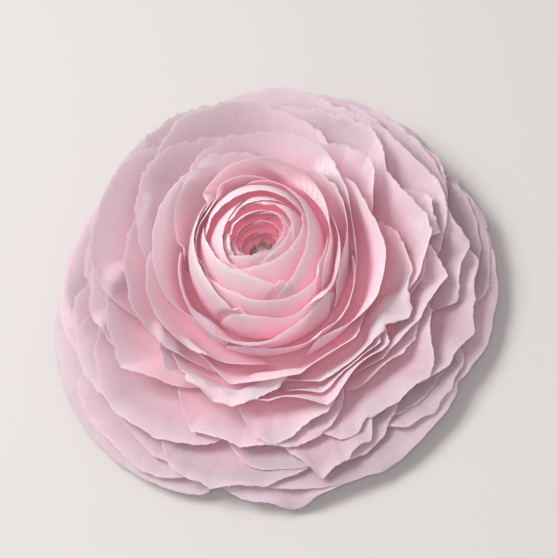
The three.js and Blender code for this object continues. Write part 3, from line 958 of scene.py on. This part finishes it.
@dataclass
class Revolved:
    """A body of revolution about the stem's axis, bent with the bloom.

    The profile runs from the axis round to the axis again, and the unevenness makes the body
    a little lobed.
    """

    profile: list[tuple[float, float]]
    sides: int
    unevenness: float

    def mesh(self, name: str) -> bpy.types.Mesh:
        """Makes the mesh.

        Args:
            name: The mesh's name.

        Returns:
            A closed mesh in metres.
        """
        turn = np.arange(self.sides) * TURN / self.sides
        points, faces = [], []
        for k, (r, z) in enumerate(self.profile):
            wave = 1 + self.unevenness * (np.sin(5 * turn + 1.3 * k) + 0.6 * np.sin(9 * turn - 0.7 * k)) / 2
            points.append(bent(r * wave * np.cos(turn), r * wave * np.sin(turn), np.full(self.sides, z)))
        for k in range(len(self.profile) - 1):
            a, b = k * self.sides, (k + 1) * self.sides
            for i in range(self.sides):
                j = (i + 1) % self.sides
                faces.append((a + i, b + i, b + j, a + j))
        mesh = bpy.data.meshes.new(name)
        mesh.from_pydata((np.concatenate(points) * MM).tolist(), [], faces)
        return closed_outward(mesh)


# Finishes


def new_material(name: str) -> tuple[bpy.types.Material, Nodes, bpy.types.Node]:
    """Starts a material with one Principled shader.

    Args:
        name: The material's name.

    Returns:
        The material, its nodes and its shader.
    """
    material = bpy.data.materials.new(name)
    material.use_nodes = True
    return material, Nodes(material.node_tree), material.node_tree.nodes["Principled BSDF"]


def streak_group() -> bpy.types.ShaderNodeTree:
    """Makes the shared pattern of fine veins that run along a blade.

    Returns:
        A group that reads a place (across, along, number) in millimetres and gives the veins'
        height and soft blotches, both from 0 to 1.
    """
    tree = bpy.data.node_groups.new("veins", "ShaderNodeTree")
    sockets = tree.interface
    sockets.new_socket("Place", in_out="INPUT", socket_type="NodeSocketVector")
    for name, value in (("Veins a Millimetre", 1.6), ("Stretch", 0.08)):
        made = sockets.new_socket(name, in_out="INPUT", socket_type="NodeSocketFloat")
        made.default_value = value
    for name in ("Veins", "Blotches"):
        sockets.new_socket(name, in_out="OUTPUT", socket_type="NodeSocketFloat")
    n = Nodes(tree)
    start, end = n.add("NodeGroupInput"), n.add("NodeGroupOutput")
    split = n.add("ShaderNodeSeparateXYZ", {0: start.outputs["Place"]})
    lengthwise = n.math("MULTIPLY", start.outputs["Veins a Millimetre"], start.outputs["Stretch"])
    place = n.add("ShaderNodeCombineXYZ", {
        0: n.math("MULTIPLY", split.outputs[0], start.outputs["Veins a Millimetre"]),
        1: n.math("MULTIPLY", split.outputs[1], lengthwise), 2: split.outputs[2]})
    fine = n.add("ShaderNodeTexNoise",
                 {"Vector": place.outputs[0], "Scale": 1.0, "Detail": 3.0, "Roughness": 0.6})
    wide = n.add("ShaderNodeTexNoise", {"Vector": start.outputs["Place"], "Scale": 0.16, "Detail": 2.0})
    n.put(end.inputs["Veins"], n.ranged(fine.outputs[0], 0.3, 0.7))
    n.put(end.inputs["Blotches"], n.ranged(wide.outputs[0], 0.3, 0.7))
    return tree


@dataclass(frozen=True)
class PetalFinish:
    """Thin matt petal flesh: pale at the free end, pinker down the petal and on inner faces, with
    painted shade down in the folds, in the heart's well and on the outer petals, and a painted glow.

    It reads the petals' own values: `blush_and_shade`, `heart` and `outer` are how pink and how deep
    in painted shade, how near the heart and how greyed with painted shade the flesh is there, `inner`
    marks the faces towards the heart, `along` is the share of the petal's length, and `margin` is the
    distance from the margin in millimetres.
    """

    pale: Colour = (0.88, 0.68, 0.745, 1.0)
    rosy: Colour = (0.92, 0.54, 0.63, 1.0)
    deep: Colour = (0.93, 0.41, 0.505, 1.0)
    # Painted shade: the grey over the outer petals' free ends.
    shade_grey: Colour = (0.54, 0.37, 0.44, 1.0)
    claw: Colour = (0.72, 0.66, 0.42, 1.0)
    rim: Colour = (0.90, 0.74, 0.79, 1.0)
    rosy_at: float = 0.45
    shade_grey_share: float = 0.8
    claw_reach: tuple[float, float] = (0.42, 0.12)
    # Where the deep pink of the heart's inner faces, partly their own tone and partly painted shade, takes
    # over: margin in mm, and share.
    wall_depth: tuple[float, float] = (0.1, 1.5)
    wall_share: tuple[float, float] = (0.3, 0.8)
    rim_width: float = 0.6
    rim_share: float = 0.1
    vein_share: float = 0.10
    blotch_share: float = 0.14
    vein_depth: float = 0.000035
    roughness: float = 0.62
    gloss: float = 0.22
    softness: float = 0.8
    light_spread: tuple[float, float, float] = (1.0, 0.85, 0.88)
    light_reach: float = 0.0012
    # Painted glow: emission that lifts the pink depths in place of light through the petals, and its share
    # outside the heart.
    painted_glow: float = 0.22
    painted_glow_outside_heart: float = 0.36

    def build(self, veins: bpy.types.ShaderNodeTree) -> bpy.types.Material:
        """Makes the material.

        Args:
            veins: The shared pattern of veins.

        Returns:
            The material.
        """
        material, n, shader = new_material("petal flesh")
        read = {name: n.add("ShaderNodeAttribute", attribute_name=name).outputs["Fac"]
                for name in ("blush_and_shade", "inner", "margin", "along", "heart", "outer")}
        place = n.add("ShaderNodeAttribute", attribute_name="place").outputs["Vector"]
        pattern = n.add("ShaderNodeGroup", {"Place": place}, node_tree=veins)
        n.put(shader.inputs["Base Color"], self.colour(n, read, pattern))
        cells = n.add("ShaderNodeTexNoise", {"Vector": place, "Scale": 3.2, "Detail": 2.0})
        height = n.math("ADD", pattern.outputs["Veins"], n.math("MULTIPLY", cells.outputs[0], 0.5))
        bump = n.add("ShaderNodeBump", {"Height": height, "Distance": self.vein_depth, "Strength": 0.8})
        n.put(shader.inputs["Normal"], bump.outputs[0])
        # Painted glow: emission in the pink depths, strongest in the heart, in place of light through the
        # petals.
        n.put(shader.inputs["Emission Color"], self.light(n, read))
        for name, value in (("Roughness", self.roughness), ("Specular IOR Level", self.gloss),
                            ("Subsurface Weight", self.softness), ("Subsurface Radius", self.light_spread),
                            ("Subsurface Scale", self.light_reach), ("Emission Strength", self.painted_glow)):
            n.put(shader.inputs[name], value)
        return material

    def colour(self, n: Nodes, read: dict, pattern: bpy.types.Node) -> bpy.types.NodeSocket:
        """Mixes the flesh's colour: its own tones, with painted shade in the folds, in the heart's well and
        on the outer petals.

        Args:
            n: The material's nodes.
            read: The petals' values by name.
            pattern: The placed group of veins.

        Returns:
            The colour.
        """
        # The ramp from pale to deep shows the petals' own pink together with painted shade down in the
        # folds.
        ramp = n.add("ShaderNodeValToRGB", {0: read["blush_and_shade"]})
        points = ramp.color_ramp.elements
        points[0].position, points[0].color = 0.0, self.pale
        points[1].position, points[1].color = 1.0, self.deep
        points.new(self.rosy_at).color = self.rosy
        # Painted shade: the outer petals are greyed towards their free ends.
        shade_greyed = n.mixed(n.math("MULTIPLY", read["outer"], self.shade_grey_share), ramp.outputs[0], self.shade_grey)
        clawed = n.mixed(n.ranged(read["along"], *self.claw_reach), shade_greyed, self.claw)
        # The inner faces of the heart petals turn deep pink away from the margin: partly their own tone,
        # partly painted shade in the heart's well.
        well_tone_and_shade = n.math("MULTIPLY", n.math("MULTIPLY", read["inner"], read["heart"]),
                      n.ranged(read["margin"], *self.wall_depth, *self.wall_share))
        well_toned_and_shaded = n.mixed(well_tone_and_shade, clawed, self.deep)
        edge = n.ranged(read["margin"], self.rim_width, 0.0, 0.0, self.rim_share)
        rimmed = n.mixed(edge, well_toned_and_shaded, self.rim)
        veined = n.mixed(n.math("MULTIPLY", pattern.outputs["Veins"], self.vein_share), rimmed, self.rosy)
        blotches = n.math("MULTIPLY", pattern.outputs["Blotches"], self.blotch_share)
        return n.mixed(blotches, veined, self.pale)

    def light(self, n: Nodes, read: dict) -> bpy.types.NodeSocket:
        """Mixes a painted glow: emission, strongest in the heart, that stands in for the light coming
        through the thin petals.

        Args:
            n: The material's nodes.
            read: The petals' values by name.

        Returns:
            The painted glow's colour.
        """
        shown = n.math("MULTIPLY", read["blush_and_shade"], n.math("SUBTRACT", 1.0, read["outer"]), clamp=True)
        share = n.math("MULTIPLY", shown, n.ranged(read["heart"], 0.0, 1.0, self.painted_glow_outside_heart, 1.0))
        return n.mixed(share, (0.0, 0.0, 0.0, 1.0), self.deep)


@dataclass(frozen=True)
class FleshFinish:
    """Soft plant flesh of one tone, with fine lengthwise streaks and softer blotches."""

    name: str
    light: Colour
    dark: Colour
    roughness: float = 0.55
    grain: float = 900.0
    depth: float = 0.00006

    def build(self, veins: bpy.types.ShaderNodeTree) -> bpy.types.Material:
        """Makes the material.

        Args:
            veins: The shared pattern of veins, read here in object coordinates.

        Returns:
            The material.
        """
        material, n, shader = new_material(self.name)
        where = n.add("ShaderNodeTexCoord").outputs["Object"]
        pattern = n.add("ShaderNodeGroup", {"Place": n.scaled(where, 1 / MM)}, node_tree=veins)
        grain = n.add("ShaderNodeTexNoise", {"Vector": where, "Scale": self.grain, "Detail": 3.0})
        colour = n.mixed(pattern.outputs["Blotches"], self.dark, self.light)
        grained = n.mixed(n.math("MULTIPLY", grain.outputs[0], 0.5), colour, self.light)
        n.put(shader.inputs["Base Color"], grained)
        height = n.math("ADD", pattern.outputs["Veins"], n.math("MULTIPLY", grain.outputs[0], 0.6))
        bump = n.add("ShaderNodeBump", {"Height": height, "Distance": self.depth, "Strength": 0.7})
        n.put(shader.inputs["Normal"], bump.outputs[0])
        n.put(shader.inputs["Roughness"], self.roughness)
        n.put(shader.inputs["Subsurface Weight"], 0.15)
        n.put(shader.inputs["Subsurface Scale"], 0.0008)
        return material


CORE_FLESH = FleshFinish("receptacle flesh", (0.72, 0.55, 0.50, 1.0), (0.62, 0.42, 0.36, 1.0))
CARPEL_FLESH = FleshFinish("carpel flesh", (0.66, 0.54, 0.47, 1.0), (0.42, 0.28, 0.25, 1.0), 0.5)
ANTHER_FLESH = FleshFinish("anther flesh", (0.72, 0.60, 0.52, 1.0), (0.48, 0.31, 0.29, 1.0), 0.7)
SEPAL_FLESH = FleshFinish("sepal flesh", (0.40, 0.47, 0.24, 1.0), (0.26, 0.36, 0.14, 1.0), 0.6)
HAIR = FleshFinish("hair", (0.66, 0.72, 0.48, 1.0), (0.52, 0.58, 0.34, 1.0), 0.6)
STEM_FLESH = FleshFinish("stem flesh", (0.30, 0.42, 0.14, 1.0), (0.17, 0.28, 0.07, 1.0), 0.5)


# Pieces


class Whorl(Enum):
    """The bands of petals that make one piece each, from the heart outwards: name, first and last."""

    HEART = ("heart_petals", -3, 10)
    INNER = ("inner_petals", 10, 21)
    MIDDLE = ("middle_petals", 21, 31)
    BROAD = ("broad_petals", 31, 41)
    OUTER = ("outer_petals", 41, 51)
    GUARD = ("guard_petals", 51, 62)


@dataclass
class Petals:
    """All the petals of the bloom, laid together and made whorl by whorl.

    `doubled` and `crowded` are the ranges of numbers with petals in between: all round in the
    heart and from `guards_from` out, and elsewhere on the crumpled side alone. A petal starts at the
    share `root_start` of its length, and those of the last `low_levels` at `low_root_start`. `tooth`
    and `nick` are the sizes of a margin's teeth and waves in millimetres, `place_step` sets the
    veins of neighbouring petals apart, and `crumple_step` the crumples of the whorls.
    """

    inmost: int = -1
    doubled: tuple[int, int] = (-2, 9)
    crowded: tuple[int, int] = (30, 61)
    guards_from: int = 47
    blade: Blade = Blade(thickness=0.16, edge_width=0.25, crumple_height=0.10, crumple_size=3.2)
    columns: int = 116
    rows: int = 16
    tooth: float = 0.14
    nick: float = 26.0
    root_start: float = 0.16
    low_root_start: float = 0.02
    low_levels: float = 8.0
    place_step: float = 7.3
    crumple_step: float = 3.7
    rest_clear: float = 0.02
    laying: Laying = field(default_factory=Laying)
    sheets: list[Sheet] = field(default_factory=list)

    def lay(self) -> None:
        """Draws and lays the petals, and works out their middle surfaces."""
        between = [number + 0.5 for number in range(*self.doubled)]
        between += [number + 0.5 for number in range(*self.crowded)
                    if number >= self.guards_from
                    or math.cos((number + 0.5) * GOLDEN_ANGLE - CRUMPLED_SIDE) > 0.5]
        petals = [Petal(number) for number in sorted([*range(self.inmost, PETALS), *between])]
        self.laying.lay(petals)
        self.sheets = [self.sheet(petal) for petal in petals]
        self.rest()

    def sheet(self, petal: Petal) -> Sheet:
        """Works out the middle surface of a petal.

        Args:
            petal: The laid petal.

        Returns:
            The surface, as rows from root to rim.
        """
        u = side_shares(self.columns)
        low = petal.level > LAST_LEVEL - self.low_levels
        start = self.low_root_start if low else self.root_start
        i = np.linspace(0, 1, self.rows + 1)[:, None]
        v = 1 - (1 - i)**1.5
        body = petal.outline(u) - start
        nicks = (0.002 + 0.004 * petal.loose) * petal.nick.at(u, 0) * smooth(0.55, 0.95, v)
        teeth = petal.teeth[None, :self.columns + 1] * (0.3 + 0.7 * petal.grown(16, 30))
        waved = nicks * self.nick + teeth * smooth(0.8, 1.0, v) * self.tooth
        s = start + body * v + waved / petal.length
        angle = petal.angle + petal.half_angle * u * petal.narrowing(s)
        rz = SHELLS.point(self.laying.read(petal.levels, angle, s), s)
        points = bent(rz[..., 0] * np.cos(angle), rz[..., 0] * np.sin(angle), rz[..., 1])
        side = (1 - np.abs(u)) * petal.half_angle * petal.narrowing(s) * rz[..., 0]
        end = (1 - v) * body * petal.length
        margin = np.minimum(np.minimum(side, end), i * self.rows * 0.8)
        margin[:, [0, -1]] = 0.0
        place = np.stack(np.broadcast_arrays(u * petal.half_angle * petal.radius, s * petal.length,
                                             petal.number * self.place_step), -1)
        # Painted shade: the outer petals grey towards their free ends, most on the crumpled side, which
        # lies away from the key light.
        shade_greyed = petal.grown(22, 58) * smooth(22.0, 0.0, end) * (0.85 + 0.35 * petal.crumpled)
        return Sheet(petal.number, points, {
            "margin": margin, "along": s, "free": smooth(0.45, 0.95, s), "blush_and_shade": self.blush_and_shade(petal, end),
            "heart": np.full(s.shape, 1 - petal.grown(4, 24)), "outer": np.minimum(shade_greyed, 1.0),
            "place": place})

    def blush_and_shade(self, petal: Petal, end: np.ndarray) -> np.ndarray:
        """Works out how deep the pink is: deeper down the petal, and deepest in the heart. Part of it is
        painted shade: the pink deepens within a shorter reach of the free end in the heart and on the
        crumpled side, where the rims above shade the petal, and the crumpled side starts darker.

        Args:
            petal: The petal.
            end: Distances from its free end, mm.

        Returns:
            The pink with its painted shade, from 0 to 1.
        """
        heart, middle = 1 - petal.grown(6, 26), 1 - petal.grown(-1, 6)
        # Painted shade: the depth step is shorter in the heart and on the crumpled side, and the crumpled
        # side starts pinker.
        depth = smooth(0.0, 14.0 - 5.0 * heart - 5.0 * petal.crumpled, end)
        start = 0.04 + 0.05 * heart + 0.2 * middle + 0.05 * petal.crumpled + 0.04 * petal.shade
        return np.clip(start + (0.5 + 0.15 * petal.crumpled) * depth, 0, 1)

    def rest(self) -> None:
        """Lets the three lowest petals sag onto the resting plane, and presses the rest clear."""
        floor = self.blade.thickness / 2 + self.rest_clear
        lowest = sorted(self.sheets, key=lambda sheet: sheet.points[..., 2].min())[:3]
        for sheet in lowest:
            z = sheet.points[..., 2]
            down = np.linspace(0, 1, len(z))
            share = np.sin(math.pi * np.clip((down - 0.15) / 0.6, 0, 1))
            row = int(z.min(axis=1).argmin())
            z -= (z.min() - floor) * (share / max(share[row], 0.3))[:, None]
        for sheet in self.sheets:
            sheet.points[..., 2] = np.maximum(sheet.points[..., 2], floor)

    def whorl(self, whorl: Whorl, grower: Grower, material: bpy.types.Material) -> bpy.types.Object:
        """Makes one whorl of petals as a plain mesh.

        Args:
            whorl: Which petals.
            grower: The tree that gives each petal its blade.
            material: The petals' finish.

        Returns:
            The piece.
        """
        name, first, last = whorl.value
        sheets = [sheet for sheet in self.sheets if first <= sheet.number < last]
        values = self.blade.inputs(self.crumple_step * first, material)
        return grower.grow(name, sheet_mesh(name, sheets), values)


@dataclass
class Eye:
    """The middle of the bloom: a head of hooked carpels in a ring of stamens, on a short column.

    The sizes are in millimetres. `foot_gap` is the room under the column, in the core's well.
    """

    radius: float = 2.4
    height: float = 9.5
    foot_gap: float = 0.3
    carpels: int = 60
    carpel: Stalk = Stalk(foot=0.24, waist=0.10, head=0.32, head_place=0.35, sides=7)
    carpel_length: float = 1.05
    stamens: int = 46
    stamen: Stalk = Stalk(foot=0.10, waist=0.10, head=0.30, head_place=0.84, sides=6)
    stamen_length: float = 7.6
    stamen_lean: tuple[float, float] = (0.12, -0.03)

    def heights(self) -> tuple[float, float]:
        """Returns the heights of the foot and the top in the upright bloom."""
        foot = float(SHELLS.point(0.0, 0.0)[1]) - WELL_DEPTH * SCALE + self.foot_gap
        return foot, foot + self.height * SCALE

    def column(self, material: bpy.types.Material) -> bpy.types.Object:
        """Makes the column under the carpels.

        Args:
            material: Its finish.

        Returns:
            The piece.
        """
        foot, top = self.heights()
        r = self.radius * SCALE
        profile = [(0, foot), (r * 0.7, foot), (r * 0.8, foot + 0.4), (r * 0.62, foot + 2.4),
                   (r * 0.5, foot + 4.6), (r * 0.56, top - 1.6), (r * 0.48, top - 0.9),
                   (r * 0.28, top - 0.45), (0, top - 0.35)]
        return placed("eye_column", Revolved(profile, 32, 0.05).mesh("eye_column"), material)

    def carpel_head(self, grower: Grower, material: bpy.types.Material) -> bpy.types.Object:
        """Grows the carpels on a golden spiral over the head.

        Args:
            grower: The tree that stands a stalk on each point.
            material: The carpels' finish.

        Returns:
            The piece.
        """
        _, top = self.heights()
        k = np.arange(self.carpels)
        share = (k + 0.5) / self.carpels
        angle = k * GOLDEN_ANGLE
        r = self.radius * SCALE * 0.56 * np.sqrt(share)
        points = bent(r * np.cos(angle), r * np.sin(angle), top - 1.15 - 1.9 * share**1.5)
        spread = 1.1 * share
        toward = np.stack([np.cos(angle) * spread, np.sin(angle) * spread, 1.2 - 0.5 * share], -1)
        fields = {"toward": toward, "spin": angle + 0.4 * np.sin(3.1 * k),
                  "girth": np.full(self.carpels, MM),
                  "length": (1.0 + 0.25 * np.sin(2.3 * k)) * self.carpel_length * MM}
        return grower.grow("carpels", point_cloud("carpels", points, fields), self.carpel.inputs(material))

    def stamen_ring(self, grower: Grower, material: bpy.types.Material) -> bpy.types.Object:
        """Grows the stamens round the column.

        Args:
            grower: The tree that stands a stalk on each point.
            material: The stamens' finish.

        Returns:
            The piece.
        """
        foot, _ = self.heights()
        k = np.arange(self.stamens)
        angle = k * GOLDEN_ANGLE + 0.2
        r = self.radius * SCALE * (0.74 + 0.10 * np.sin(2.7 * k))
        points = bent(r * np.cos(angle), r * np.sin(angle), np.full(self.stamens, foot + 0.5))
        lean_x, lean_y = self.stamen_lean
        toward = np.stack([np.cos(angle) * 0.05 + lean_x, np.sin(angle) * 0.05 + lean_y,
                           np.ones(self.stamens)], -1)
        fields = {"toward": toward, "spin": angle, "girth": np.full(self.stamens, MM),
                  "length": (self.stamen_length + 1.0 * np.sin(1.9 * k)) * MM}
        return grower.grow("stamens", point_cloud("stamens", points, fields), self.stamen.inputs(material))


@dataclass
class Underside:
    """What carries the petals: the receptacle, the five sepals with their hairs, and the stem.

    The sizes are in millimetres. The core's underside lies `root_pad` under the petals' roots, and
    the stem and the sepals start `gap` below it, the sepals `sepal_clear` more. The sepals stay
    `rest_clear` over the table and the hairs' tips `hair_clear`. A hair's foot is sunk by
    `hair_sink`, it is `hair_least` long and up to `hair_more` longer, and it turns by up to
    `hair_spin` radians.
    """

    root_pad: float = 0.6
    gap: float = 0.3
    well_radius: float = 2.4
    core_reach: float = 0.24
    core_levels: tuple[int, ...] = (4, 12, 24, 40, 56)
    stem_radius: float = 2.6
    rest_clear: float = 0.5
    sepals: int = 5
    sepal: Blade = Blade(thickness=0.8, edge_width=0.6, crumple_height=0.12, crumple_size=2.0)
    sepal_length: float = 7.4
    sepal_width: float = 7.6
    sepal_clear: float = 0.2
    columns: int = 18
    rows: int = 22
    hairs: int = 420
    hair_form: Stalk = Stalk(foot=0.035, waist=0.010, head=0.0, head_place=0.5, sides=4)
    hair_sink: float = 0.12
    hair_least: float = 0.55
    hair_more: float = 0.35
    hair_spin: float = 6.28
    hair_clear: float = 0.15
    hair_seed: int = 11

    def receptacle(self, material: bpy.types.Material) -> bpy.types.Object:
        """Makes the body that the petals stand on, with a well for the eye.

        Args:
            material: Its finish.

        Returns:
            The piece.
        """
        floor = float(SHELLS.point(0.0, 0.0)[1]) - WELL_DEPTH * SCALE
        r = self.well_radius * SCALE
        profile = [(0, floor), (r, floor), (r, float(SHELLS.point(0.0, self.core_reach)[1]))]
        profile += [tuple(map(float, SHELLS.point(level, self.core_reach))) for level in self.core_levels]
        for s in (0.06, 0.0):
            at = SHELLS.point(UNDER_LEVEL, s)
            profile.append((float(at[0]), float(at[1]) - self.root_pad))
        profile.append((0, profile[-1][1]))
        return placed("receptacle", Revolved(profile, 48, 0.02).mesh("receptacle"), material)

    def stem(self, material: bpy.types.Material) -> bpy.types.Object:
        """Makes the short cut stem, lightly fluted and a little narrower towards its cut.

        Args:
            material: Its finish.

        Returns:
            The piece.
        """
        top = float(SHELLS.point(UNDER_LEVEL, 0.0)[1]) - self.root_pad - self.gap
        cut = DROP + 2 * self.rest_clear
        r = self.stem_radius * SCALE
        neck, steps = 1.8, 8
        profile = [(0, top), (r * 0.96, top), (r, top - 0.5), (r * 0.97, top - neck)]
        for k in range(steps + 1):
            profile.append((r * (0.97 - 0.13 * k / steps),
                            top - neck + (cut + 0.25 - (top - neck)) * k / steps))
        profile += [(r * 0.80, cut + 0.04), (r * 0.72, cut), (r * 0.4, cut + 0.02), (0, cut + 0.05)]
        return placed("stem_stub", Revolved(profile, 40, 0.035).mesh("stem_stub"), material)

    def sepal_sheet(self, number: int) -> Sheet:
        """Works out one sepal's middle surface.

        Args:
            number: Which sepal.

        Returns:
            The surface, as rows from the collar outwards.
        """
        clear = self.root_pad + self.gap + self.sepal.thickness / 2 + self.sepal_clear
        t = np.linspace(0, 1, self.rows + 1)[:, None]
        u = side_shares(self.columns)
        s = 0.006 + t * self.sepal_length * (1 - 0.25 * u * u * t) / SHELLS.length(LAST_LEVEL)
        near, far = SHELLS.point(UNDER_LEVEL, s), SHELLS.point(UNDER_LEVEL, s + 0.01)
        step = (far - near) / np.linalg.norm(far - near, axis=-1)[..., None]
        shape = 0.62 + 0.38 * np.sin(math.pi * np.minimum(t + 0.25, 1))
        tip = np.sqrt(np.clip(1 - np.maximum(t - 0.62, 0)**2 / 0.150, 0.02, 1))
        radius = near[..., 0] + step[..., 1] * clear
        angle = (number + 0.3) * TURN / self.sepals
        turn = angle + u * self.sepal_width / 2 * SCALE * shape * tip / np.maximum(radius, 1)
        z = near[..., 1] - step[..., 0] * clear - 0.25 * np.sin(math.pi * t) * (1 - u * u)
        points = bent(radius * np.cos(turn), radius * np.sin(turn), z)
        points[..., 2] = np.maximum(points[..., 2], self.rest_clear + self.sepal.thickness / 2)
        side = (1 - np.abs(u)) * self.sepal_width / 2 * shape * tip
        margin = np.minimum(np.minimum(side, (1 - t) * self.sepal_length), t * self.sepal_length)
        fields = {"margin": margin, "free": np.full(margin.shape, 1.0), "place": points}
        return Sheet(number, points, fields)

    def sepal_star(self, grower: Grower,
                   material: bpy.types.Material) -> tuple[bpy.types.Object, np.ndarray]:
        """Makes the five sepals.

        Args:
            grower: The tree that gives each sepal its blade.
            material: The sepals' finish.

        Returns:
            The piece, and the points of the sepals' middle surfaces.
        """
        sheets = [self.sepal_sheet(number) for number in range(self.sepals)]
        star = grower.grow("sepal_star", sheet_mesh("sepal_star", sheets), self.sepal.inputs(1.0, material))
        return star, np.stack([sheet.points for sheet in sheets])

    def hair(self, sepals: np.ndarray, grower: Grower, material: bpy.types.Material) -> bpy.types.Object:
        """Grows short soft hairs on the outer faces of the sepals.

        Args:
            sepals: The points of the sepals' middle surfaces.
            grower: The tree that stands a stalk on each point.
            material: The hairs' finish.

        Returns:
            The piece.
        """
        pick = np.random.default_rng(self.hair_seed)
        which = pick.integers(0, self.sepals, self.hairs)
        i = pick.integers(2, self.rows - 1, self.hairs)
        j = pick.integers(2, self.columns - 2, self.hairs)
        points = sepals[which, i, j]
        along = sepals[which, i + 1, j] - points
        out = -np.cross(along, sepals[which, i, j + 1] - points)
        out /= np.linalg.norm(out, axis=1)[:, None]
        foot = points + out * (self.sepal.thickness / 2 - self.hair_sink)
        length = self.hair_least + self.hair_more * pick.random(self.hairs)
        clear = foot[:, 2] + out[:, 2] * length > self.hair_clear
        foot, out, length, along = foot[clear], out[clear], length[clear], along[clear]
        lean = out + 0.5 * along / np.linalg.norm(along, axis=1)[:, None]
        fields = {"toward": lean, "spin": pick.random(len(foot)) * self.hair_spin,
                  "girth": np.full(len(foot), MM), "length": length * MM}
        return grower.grow("sepal_hairs", point_cloud("sepal_hairs", foot, fields),
                           self.hair_form.inputs(material))


# The studio


@dataclass(frozen=True)
class Lamp:
    """One soft light that looks at the bloom.

    `towards` is its direction from the bloom, along the picture's right, up and back. Its distance
    and width are in metres, and its power in watts.
    """

    name: str
    towards: tuple[float, float, float]
    distance: float
    size: float
    power: float

    def hang(self, axes: tuple[Vector, Vector, Vector]) -> None:
        """Hangs the light.

        Args:
            axes: The picture's right, up and back.
        """
        data = bpy.data.lights.new(self.name, "AREA")
        data.size, data.energy = self.size, self.power
        lamp = bpy.data.objects.new(self.name, data)
        way = sum((axis * share for axis, share in zip(axes, self.towards)), Vector()).normalized()
        lamp.location = way * self.distance
        lamp.rotation_mode = "QUATERNION"
        lamp.rotation_quaternion = (-way).to_track_quat("-Z", "Y")
        bpy.context.scene.collection.objects.link(lamp)


@dataclass(frozen=True)
class Studio:
    """The floor, the soft lights and the camera.

    The camera's elevation and roll are in degrees, its distance is in metres, and a pixel is the
    metres that one pixel of the picture covers. `centre` and `bloom_at` are places in the picture.
    """

    elevation: float = 59.0
    roll: float = 23.0
    distance: float = 0.315
    lens: float = 100.0
    sensor: float = 36.0
    pixel: float = 0.0002
    centre: tuple[float, float] = (278.5, 279.0)
    bloom_at: tuple[float, float] = (270.0, 305.0)
    floor_half: float = 1.0
    floor: Colour = (0.62, 0.59, 0.58, 1.0)
    floor_speck: Colour = (0.5, 0.48, 0.48, 1.0)
    sky: Colour = (1.0, 0.99, 1.0, 1.0)
    sky_strength: float = 0.34
    lamps: tuple[Lamp, ...] = (Lamp("key", (-0.95, 0.75, 0.8), 0.6, 0.30, 3.2),
                               Lamp("fill", (-0.05, 0.05, 1.0), 0.6, 0.16, 1.0))

    def axes(self) -> tuple[Vector, Vector, Vector]:
        """Works out the camera's directions.

        Returns:
            The picture's right and up, and the way back to the camera.
        """
        e = math.radians(self.elevation)
        back = Vector((0, -math.cos(e), math.sin(e)))
        right = Quaternion(back, math.radians(-self.roll)) @ Vector((1, 0, 0))
        return right, back.cross(right), back

    def camera(self) -> None:
        """Places the camera where the photographer stood, turned as the picture is."""
        data = bpy.data.cameras.new("camera")
        data.lens, data.sensor_width = self.lens, self.sensor
        eye = bpy.data.objects.new("camera", data)
        bpy.context.scene.collection.objects.link(eye)
        right, up, back = self.axes()
        off = right * (self.centre[0] - self.bloom_at[0]) + up * (self.bloom_at[1] - self.centre[1])
        eye.rotation_mode = "QUATERNION"
        eye.rotation_quaternion = Matrix((right, up, back)).transposed().to_quaternion()
        eye.location = back * self.distance + off * self.pixel
        bpy.context.scene.camera = eye

    def card(self) -> bpy.types.Object:
        """Lays the floor.

        Returns:
            The floor.
        """
        half = self.floor_half
        mesh = bpy.data.meshes.new("floor")
        mesh.from_pydata([(-half, -half, 0), (half, -half, 0), (half, half, 0), (-half, half, 0)], [],
                         [(0, 1, 2, 3)])
        material, n, shader = new_material("floor card")
        where = n.add("ShaderNodeTexCoord").outputs["Object"]
        speck = n.add("ShaderNodeTexNoise", {"Vector": where, "Scale": 40.0})
        share = n.math("MULTIPLY", speck.outputs[0], 0.06)
        n.put(shader.inputs["Base Color"], n.mixed(share, self.floor, self.floor_speck))
        n.put(shader.inputs["Roughness"], 0.9)
        n.put(shader.inputs["Specular IOR Level"], 0.1)
        return placed("floor", mesh, material)

    def set_up(self) -> bpy.types.Object:
        """Sets up the studio.

        Returns:
            The floor.
        """
        floor = self.card()
        world = bpy.data.worlds.new("studio")
        bpy.context.scene.world = world
        world.use_nodes = True
        background = world.node_tree.nodes["Background"]
        background.inputs["Color"].default_value = self.sky
        background.inputs["Strength"].default_value = self.sky_strength
        for lamp in self.lamps:
            lamp.hang(self.axes())
        bpy.context.scene.view_settings.view_transform = "Standard"
        self.camera()
        return floor


def report(piece: bpy.types.Object, node: str) -> None:
    """Hands a finished piece to the frame, and logs it.

    Args:
        piece: The piece.
        node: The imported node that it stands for.
    """
    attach(piece, "root")
    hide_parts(node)
    triangles = sum(len(face.vertices) - 2 for face in piece.data.polygons)
    LOG.info("%s: %d triangles", piece.name, triangles)


def main() -> None:
    """Builds the bloom, piece by piece, in its studio."""
    logging.basicConfig(level=logging.INFO, format="%(name)s %(message)s")
    floor = Studio().set_up()
    veins = streak_group()
    flesh = PetalFinish().build(veins)
    blades, stalks = blade_grower(), stalks_grower()
    petals = Petals()
    petals.lay()
    for whorl in Whorl:
        report(petals.whorl(whorl, blades, flesh), "petals")
    under = Underside()
    report(under.receptacle(CORE_FLESH.build(veins)), "petals")
    eye = Eye()
    carpel = CARPEL_FLESH.build(veins)
    report(eye.column(carpel), "eye")
    report(eye.carpel_head(stalks, carpel), "eye")
    report(eye.stamen_ring(stalks, ANTHER_FLESH.build(veins)), "eye")
    star, sepals = under.sepal_star(blades, SEPAL_FLESH.build(veins))
    report(star, "sepals")
    report(under.hair(sepals, stalks, HAIR.build(veins)), "sepals")
    report(under.stem(STEM_FLESH.build(veins)), "stem")


if __name__ == "__main__":
    main()
